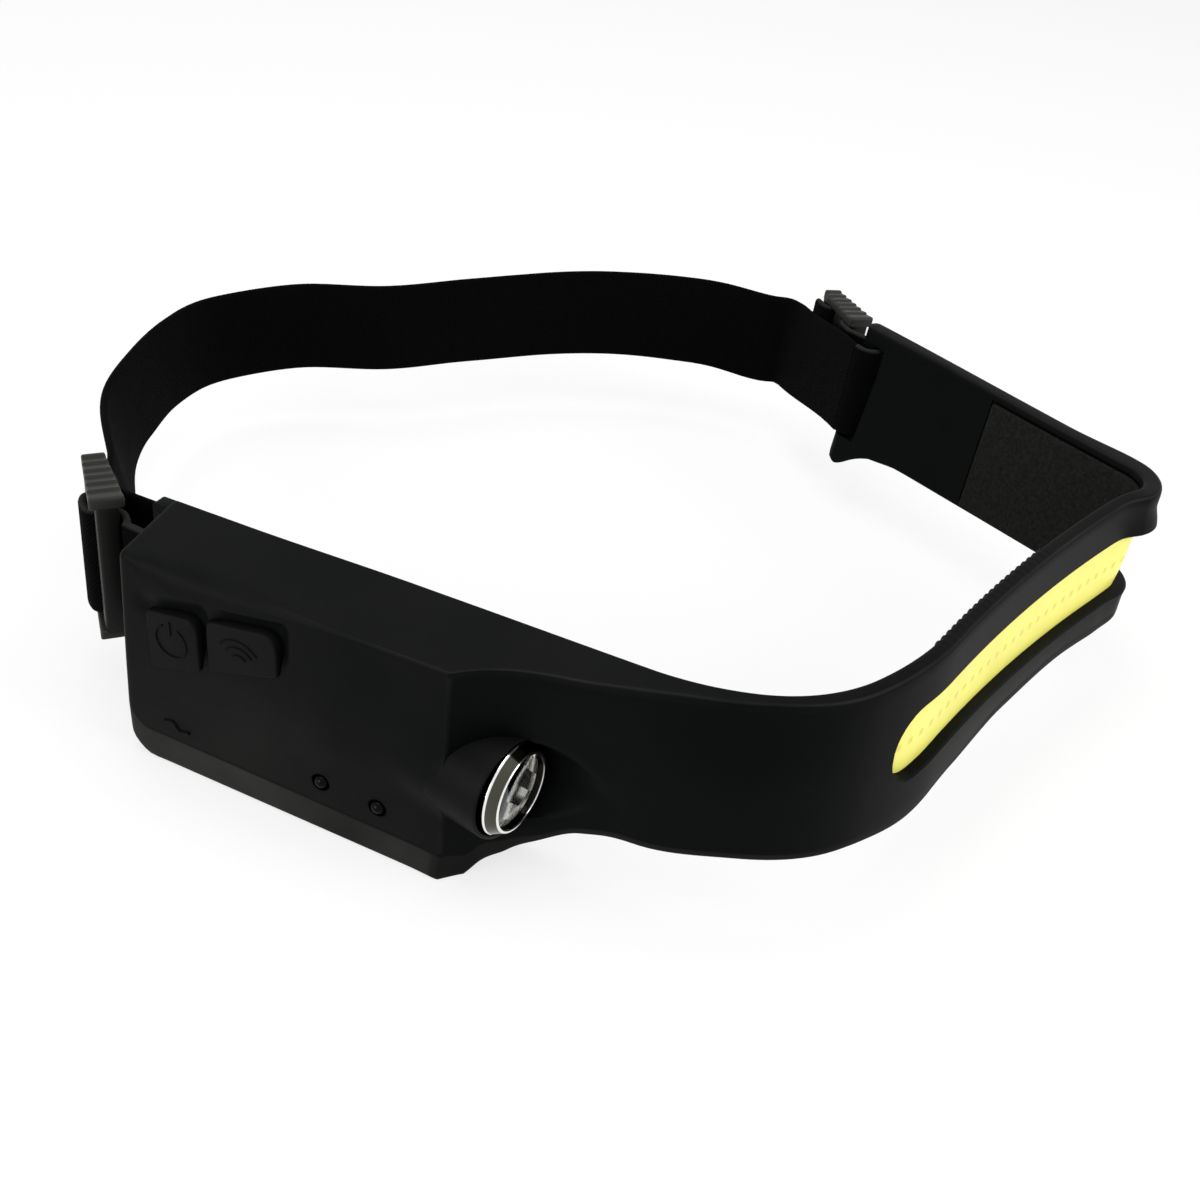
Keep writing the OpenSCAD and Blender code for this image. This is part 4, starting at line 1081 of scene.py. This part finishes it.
bm = bmesh.new()
plane = key_plane("power", 10.9, 25.9)
raised_arc(bm, plane, 2.9, 118, 304)
raised_bar(bm, plane, (0, 1.2), (0, 3.6))
bmesh.ops.recalc_face_normals(bm, faces=bm.faces)
keep(bm, "power_sign", "silicone", "power_key")
bm = bmesh.new()
plane = key_plane("sensor", 23.2, 26.6)
for radius in (1.5, 2.9, 4.2):
    raised_arc(bm, plane, radius, 38, 104)
bmesh.ops.recalc_face_normals(bm, faces=bm.faces)
keep(bm, "wave_sign", "silicone", "sensor_key")

# %% Charging sign
bm = bmesh.new()
plane = FACE @ Matrix.Translation((10.4, 8.7, box_front(10.4, 8.7)))
for a, b in (((-2.3, 0.5), (-0.6, 0.9)), ((-0.6, 0.9), (0.5, -0.6)), ((0.5, -0.6), (2.4, -0.2))):
    raised_bar(bm, plane, a, b, 0.32)
bmesh.ops.recalc_face_normals(bm, faces=bm.faces)
keep(bm, "charging_sign", "silicone", "headlamp")

# %% [markdown]
# ## Spot lamp
# The lamp's pieces are all round, so each is a profile spun about an axis. The barrel ends in a soft rim, and the
# chrome ring slopes down to it between two lips. Ring, bowl and lens sit a few degrees crooked in the soft barrel, so
# they share an axis of their own. The bowl is spun in few steps and kept flat shaded, because facets make it sparkle.

# %% Barrel rim
bm = bmesh.new()
wear_highlight_layer = bm.verts.layers.float.new("wear_and_highlight")
rim = [(BEAM_R, -14), (BEAM_R, -0.25), (7.87, -0.08), (8.0, 0), (8.3, 0), (8.46, -0.1), (8.5, -0.3)]
turned_piece(bm, rim + [(8.5, -4), (8.5, -9), (8.5, -14)], closed=True)
halved = bmesh.ops.bisect_plane(
    bm, geom=list(bm.verts) + list(bm.edges) + list(bm.faces), plane_co=FACE @ Vector((0, 0, 3)),
    plane_no=FACE.to_3x3() @ Vector((0, 0, 1)), clear_inner=True,
)
bmesh.ops.holes_fill(bm, edges=[e for e in halved["geom_cut"] if isinstance(e, bmesh.types.BMEdge)], sides=0)
bmesh.ops.recalc_face_normals(bm, faces=bm.faces)
# The rim is painted a little lighter, and more at its lower side: a painted highlight on the rounding.
for v in bm.verts:
    v[wear_highlight_layer] = mix(0.4, 0.1, ease(10, 15, v.co.z))
keep(bm, "barrel_rim", "silicone", "headlamp", 40)

# %% Bezel
bm = bmesh.new()
lip_highlight = bm.verts.layers.float.new("lip_highlight")
ring_profile = (
    (6.1, -0.6), (5.95, 1.5), (5.98, 1.7), (6.1, 1.8), (6.3, 1.8), (6.42, 1.75), (6.5, 1.64), (6.53, 1.58), (6.6, 1.44),
    (7.26, 0.26), (7.32, 0.16), (7.36, 0.1), (7.44, 0), (7.5, -0.12), (7.5, -0.2), (7.46, -0.3), (7.2, -0.7), (7.1, -1),
    (7.1, -3), (6.9, -3), (6.9, -0.6),
)
turned_piece(bm, ring_profile, closed=True, place=LAMP_FRONT)
to_lamp = LAMP_FRONT.inverted()
# The top lip and the outer lip are marked for their painted highlight.
for v in bm.verts:
    flat = to_lamp @ v.co
    v[lip_highlight] = 1.0 if flat.z > 1.6 or (flat.xy.length > 7.34 and -0.15 < flat.z < 0.12) else 0.0
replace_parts(keep(bm, "chrome_bezel", "chrome", "headlamp", 40), "lamp_bezel")

# %% Bowl and lens
bm = bmesh.new()
bowl = [(2.4 + 3.5 * sqrt(t), -9.4 + 9.6 * t) for t in (0, 0.06, 0.3, 1)]
turned_piece(bm, bowl + [(6.0, 0.2), (6.0, -0.5), (4.6, -5.6), (3.0, -9.4)], steps=14, closed=True, place=LAMP_FRONT)
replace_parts(keep(bm, "mirror_bowl", "reflector", "headlamp", 1), "lamp_reflector")
bm = bmesh.new()
disc = [(0, 1.25), (3, 1.15), (5.4, 0.8), (5.9, 0.6), (5.9, 0.3), (3, 0.3), (0, 0.3)]
turned_piece(bm, disc, steps=64, place=LAMP_FRONT)
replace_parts(keep(bm, "front_lens", "lens", "headlamp", 40), "lamp_lens")

# %% [markdown]
# ## Sensor domes
# Two dark domes look out of the box front, one that sends and one that receives. A cylinder and half a sphere could be
# joined, but one spun profile gives the collar and the rounded lens without a seam.

# %% Domes
for name, (s, z) in DOMES.items():
    bm = bmesh.new()
    profile = [(0, 10.2), (1.2, 10.2), (1.4, 10.5), (1.4, 13.5), (1.3, 13.65), (1.2, 13.7)]
    profile += [(1.18 * cos(radians(a)), 13.8 + 1.15 * sin(radians(a))) for a in range(0, 91, 10)]
    turned_piece(bm, profile, steps=40, place=FACE @ Matrix.Translation((s, z, 0)))
    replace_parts(keep(bm, name + "_lens", "dome", "headlamp", 50), name)

# %% [markdown]
# ## Light strip
# The yellow layer lies in the recess and swells a little in its middle. The floor of the recess could be pulled out
# for it, but it is a piece of its own, so it is a loft along the band's line whose half height follows the round ends
# of the recess. Its UV map counts millimetres from one emitter to the next.

# %% Yellow layer
def strip_half(s):
    """Half height of the yellow layer, a little less than the recess."""
    inset = min(s - STRIP_S0, STRIP_END - s) - 0.15
    r = CHANNEL_R - 0.12
    return sqrt(max(0.04, r * r - max(0, r - inset) ** 2))


FIRST_EMITTER = 122.5
places = [STRIP_S0 + 0.15 + 5.7 * (1 - cos(radians(a))) for a in range(2, 90, 8)] + span(126, 220, 0.9)
places += [STRIP_END - 0.15 - 5.7 * (1 - cos(radians(a))) for a in range(90, 1, -8)]
bm = bmesh.new()
rings, across = [], [-1, -0.97, -0.85, -0.5, 0, 0.5, 0.85, 0.97, 1]
for s in places:
    half = strip_half(s)
    face = [(1.75 + 0.3 * (1 - k * k), CHANNEL_MID + half * k) for k in across]
    back = [(1.6, CHANNEL_MID + half * k) for k in reversed(across)]
    rings.append([on_band(s, out, z) for out, z in face[4:] + back + face[:4]])
uv_layer = bm.loops.layers.uv.new("UVMap")
rows = loft(bm, rings)
spots = {}
for s, row in zip(places, rows):
    for v in row:
        spots[v] = (s - FIRST_EMITTER, v.co.z - CHANNEL_MID)
lay_uv(bm, uv_layer, spots)
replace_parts(keep(bm, "yellow_layer", "phosphor", "headlamp", 50), "strip_phosphor")

# %% [markdown]
# ## Temple pad
# A thin rough pad is stuck to the inside of the straight side. It is too thin and firm to need a cloth simulation, so
# it is a loft of a rounded slab. Its nap comes from the grain in its finish.

# %% Pad
bm = bmesh.new()
low, high = BAND_Z + PAD_RIM + 0.5, BOX_H - PAD_RIM - 0.5
places = [(203.9, 0.35), (204.05, 0.1), (204.4, 0)] + [(s, 0) for s in span(204.8, 239.5, 0.7)]
rings = []
for s, draw in places + [(239.5, 0), (239.7, 0.1), (239.8, 0.35)]:
    face = draw - 0.6
    corners = [(face, high - draw), (0.3, high - draw), (0.3, low + draw), (face, low + draw)]
    ring = [(face, RING_START)] + round_slab(corners, 0.4)
    rings.append([on_band(s, out, z) for out, z in ring])
loft(bm, rings)
pad_piece = keep(bm, "rough_temple_pad", "pad", "headlamp")
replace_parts(pad_piece, "temple_pad")

# %% [markdown]
# ## Strap
# The rear strap is a flat band of elastic webbing that stands on edge and bends round the back of the head. On the left
# it swings out from the post behind the box, on the right it leaves the bar straight, and between them it bends freely.
# The free run is a smooth curve through marks, and a ring with round edges is lofted along it.

# %% Line of the strap
WRAP_R, STRAP_T, STRAP_W = 2.85, 1.4, 20
LEFT = Matrix.Translation(on_band(-4, 6.0, 0)) @ Matrix.Rotation(radians(116.5), 4, "Z")
LEFT_STRAIGHT, RIGHT_STRAIGHT = 35.7, 27.2
MARKS = (
    (0.035, 0.12), (0.1, 0.212), (0.17, 0.28), (0.25, 0.324), (0.365, 0.32), (0.48, 0.267), (0.6, 0.247), (0.72, 0.222),
    (0.84, 0.168), (0.93, 0.102), (0.98, 0.04),
)


def smooth_run(knots, steps):
    """A curve through knots, without the first and last, that passes each one along the line between its neighbours."""
    line = []
    for a, b, c, d in zip(knots, knots[1:], knots[2:], knots[3:]):
        for k in range(steps):
            t = k / steps
            straight = b + (c - a) * (t / 2)
            line.append(straight + (a - b * 2.5 + c * 2 - d / 2) * t**2 + ((b - c) * 1.5 + (d - a) / 2) * t**3)
    return line + [knots[-2]]


free_a, free_b = LEFT @ Vector((LEFT_STRAIGHT, -WRAP_R, 0)), RIGHT @ Vector((RIGHT_STRAIGHT, -WRAP_R, 0))
chord = free_b - free_a
aside = Vector((-chord.y, chord.x, 0))
knots = [LEFT @ Vector((LEFT_STRAIGHT - 20, -WRAP_R, 0)), free_a]
knots += [free_a + chord * m[0] + aside * m[1] for m in MARKS]
knots += [free_b, RIGHT @ Vector((RIGHT_STRAIGHT - 20, -WRAP_R, 0))]
LEFT_PIN = LEFT.inverted() @ LEFT_POST
strap_line = []
for u in span(LEFT_PIN.x, LEFT_STRAIGHT, 1.5):
    bulge = 1.8 * sin(pi * max(0, (u - 12) / (LEFT_STRAIGHT - 12))) ** 2
    strap_line.append(LEFT @ Vector((u, bulge - WRAP_R + LEFT_PIN.y * (1 - ease(4, 20, u)), 0)))
strap_line += smooth_run(knots, 9)
strap_line += [RIGHT @ Vector((RIGHT_STRAIGHT - u, -WRAP_R, 0)) for u in span(3, RIGHT_STRAIGHT, 3)]
strap_line.append(RIGHT @ Vector((0, -WRAP_R, 0)))
print(len(strap_line), "points on the strap")

# %% Webbing along a line
EDGE = ((-9.3, 0.7), (-9.8, 0.5), (-10, 0), (-9.8, -0.5), (-9.3, -0.7))
TILT_BELOW, TILT_TURN = 8, 0.37


def webbing_along(name, line, mid_height, lean, wear_and_highlight_share=0.0):
    """Loft webbing along a level line. lean gives the tilt of its width at a share of the way. The top edge gets a
    painted highlight.
    """
    bm = bmesh.new()
    wear_highlight_layer = bm.verts.layers.float.new("wear_and_highlight")
    layer = bm.loops.layers.uv.new("UVMap")
    profile = [(0, 0.7), (-4.6, 0.7), *EDGE, (-4.6, -0.7), (0, -0.7), (4.6, -0.7)]
    profile += [(-w, -t) for w, t in EDGE] + [(4.6, 0.7)]
    rings, far, length = [], [], 0.0
    for k, p in enumerate(line):
        run = line[min(k + 1, len(line) - 1)] - line[max(k - 1, 0)]
        run.normalize()
        length += (p - line[k - 1]).length if k else 0
        side = Vector((-run.y, run.x, 0))
        share = k / (len(line) - 1)
        tilt = lean(share)
        wide, thick = Vector((0, 0, cos(tilt))) + side * sin(tilt), side * cos(tilt) - Vector((0, 0, sin(tilt)))
        middle = p + Vector((0, 0, mid_height(share))) - side * (TILT_BELOW * sin(tilt) if share < TILT_TURN else 0)
        rings.append([middle + wide * w + thick * t for w, t in profile])
        far.append(length)
    rows = loft(bm, rings)
    spots = {v: (x, w) for x, row in zip(far, rows) for v, (w, _) in zip(row, profile)}
    for v, (_, w) in spots.items():
        # The top edge is painted pale: a painted highlight.
        v[wear_highlight_layer] = wear_and_highlight_share if w > 9.7 else 0.0
    lay_uv(bm, layer, spots)
    print(name, round(length, 1), "mm long")
    return bm, length


# %% Rear strap
HANG = (
    (0, 0), (0.06, -0.5), (0.13, -1.9), (0.3, -1.7), (0.37, -1.5), (0.44, -1.7), (0.51, -1.3), (0.58, -1.3),
    (0.65, -1.4), (0.72, -0.9), (0.79, -1.1), (0.86, -1.9), (0.93, -1.6), (1, 1.6),
)
TILT = (
    (0, 0), (0.03, 0.04), (0.07, 0.15), (0.13, 0.22), (0.21, 0.2), (0.3, 0.06), (0.37, 0), (0.44, -0.05), (0.51, -0.05),
    (0.58, -0.03), (0.65, 0), (0.72, 0.03), (0.79, 0.1), (0.86, 0.15), (0.93, 0.12), (1, 0.06),
)


def strap_height(share):
    """Height of the middle of the strap at a share of the way, with the waves it hangs in."""
    return mix(LEFT_MID, RIGHT_MID - 1.6, ease(0.1, 0.9, share)) + read_off(HANG, share)


bm, length = webbing_along("rear_webbing", strap_line, strap_height, lambda share: read_off(TILT, share))
strap = keep(bm, "rear_webbing", "webbing", "headlamp", 60)
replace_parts(strap, "rear_strap")

# %% [markdown]
# ## Folded ends
# Each end of the webbing goes round a bar, then weaves through a slider: inside its near bar, over the middle bar and
# inside the far one. When the slider moves, the stretch between bar and slider grows, so this piece blends between
# the two bodies.

# %% Folded ends
BUCKLE_LEN, FRAME_HALF, SLIDE_GAP = 15, 1.8, 0.35
LOOP_V = STRAP_T + SLIDE_GAP - WRAP_R
BUCKLE_V = LOOP_V + STRAP_T / 2 + SLIDE_GAP + FRAME_HALF
HUMP = (
    (0, 0), (0.17, 0), (0.27, 0.15), (0.3, 0.42), (0.32, 0.82), (0.38, 0.98), (0.5, 1.02), (0.62, 0.98), (0.68, 0.82),
    (0.7, 0.42), (0.73, 0.15), (0.83, 0), (1, 0),
)


def loop_line(start, place, pin):
    """Level line of the folded end, from the bottom of the bar round it and over the slider."""
    rise = 2 * FRAME_HALF + 2 * SLIDE_GAP + STRAP_T
    near = start - 0.6
    far, aside = near - pin.x, LOOP_V - pin.y
    turn_end = atan2(aside, far) + acos(WRAP_R / hypot(far, aside))
    points = []
    for k in range(19):
        a = mix(1.5 * pi, turn_end, k / 18)
        points.append(Vector((pin.x + WRAP_R * cos(a), pin.y + WRAP_R * sin(a), 0)))
    hump = [Vector((near, LOOP_V, 0))] + [Vector((start + m * BUCKLE_LEN, LOOP_V + h * rise, 0)) for m, h in HUMP]
    hump = smooth_run([points[-1]] + hump + [hump[-1] + Vector((3, 0, 0))], 3)
    return [place @ p for p in points + hump]


SIDES = {
    "left": (LEFT, 6.7, LEFT_MID, Matrix.Identity(4), LEFT_PIN),
    "right": (RIGHT, 8.2, RIGHT_MID, RIGHT_LEAN, Vector()),
}
for side, (place, start, mid, lean, pin) in SIDES.items():
    name, line = side + "_webbing_loop", loop_line(start, place, pin)
    bm, length = webbing_along(name, line, lambda share: mid, lambda share: 0, 0.3)
    bmesh.ops.transform(bm, matrix=lean, verts=bm.verts)
    loop_piece = keep(bm, name, "webbing", None, 60)
    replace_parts(loop_piece, side + "_strap_loop")
    ends = [place @ Vector((u, 0, mid)) * MM for u in (0.5, start)]
    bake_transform(loop_piece, "headlamp", side + "_slider", start=ends[0], end=ends[1])

# %% [markdown]
# ## Sliders
# A slider is a moulded frame of three bars between two grips. The grips get narrower away from the box or the band, and
# a row of slanting steps gives the fingers hold. A loft along the slider makes a grip, because the steps are then just
# a change of height from ring to ring. The bars are bevelled boxes.

# %% Grips
STEP_PITCH, STEP_DEEP, BAR_W = 2.2, 0.4, 2.85
GRIP_STEPS = [(0, 0.5), (0.12, 0.2), (0.4, 0)] + [(u, 0) for u in span(0.8, 14.5, 0.3)]
GRIP_STEPS += [(14.7, 0), (14.9, 0.2), (BUCKLE_LEN, 0.5)]


def grip_ring(u, low, high):
    """Section of a grip at a distance along the slider."""
    half = mix(2.8, 1.9, u / BUCKLE_LEN)
    return round_slab([(-half, low), (half, low), (half, high), (-half, high)], 0.45)


def step_depth(u):
    """Depth of the finger steps on a grip."""
    return STEP_DEEP * ((u - 0.9) / STEP_PITCH % 1) if 0.9 < u < 14.1 else 0


def add_grip(bm, start, mid, low, high, sign):
    """Loft one grip, above or below the bars by its sign."""
    rings = []
    for u, draw in GRIP_STEPS:
        ring = grip_ring(u, low + draw, high - step_depth(u) - draw)
        rings.append([Vector((start + u, BUCKLE_V + v * (1 - draw / 3), mid + sign * z)) for v, z in ring])
    for row in loft(bm, rings):
        for v in row:
            v[bm.verts.layers.float["grip"]] = 1.0


print(len(GRIP_STEPS), "rings in a grip")

# %% Sliders
UPPER_MID = {"left": LEFT_MID, "right": 23.6}
for side, (place, start, mid, lean, pin) in SIDES.items():
    bm = bmesh.new()
    bm.verts.layers.float.new("grip")
    add_grip(bm, start, UPPER_MID[side], 12.3, 14.5, 1)
    add_grip(bm, start, mid, 10.9, 12.6, -1)
    low_z, high_z = mid - 11.3, UPPER_MID[side] + 12.9
    for u in (0, 6.075, 12.15):
        box = Matrix.Translation((start + u + BAR_W / 2, BUCKLE_V, (low_z + high_z) / 2))
        box = box @ Matrix.Diagonal((BAR_W, 2 * FRAME_HALF, high_z - low_z, 1))
        round_edges(bm, edges_of(bmesh.ops.create_cube(bm, size=1, matrix=box)["verts"]), SOFT_EDGE)
    bmesh.ops.transform(bm, matrix=lean @ place, verts=bm.verts)
    bmesh.ops.recalc_face_normals(bm, faces=bm.faces)
    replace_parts(keep(bm, side + "_slider_frame", "buckle", side + "_slider"), side + "_buckle")
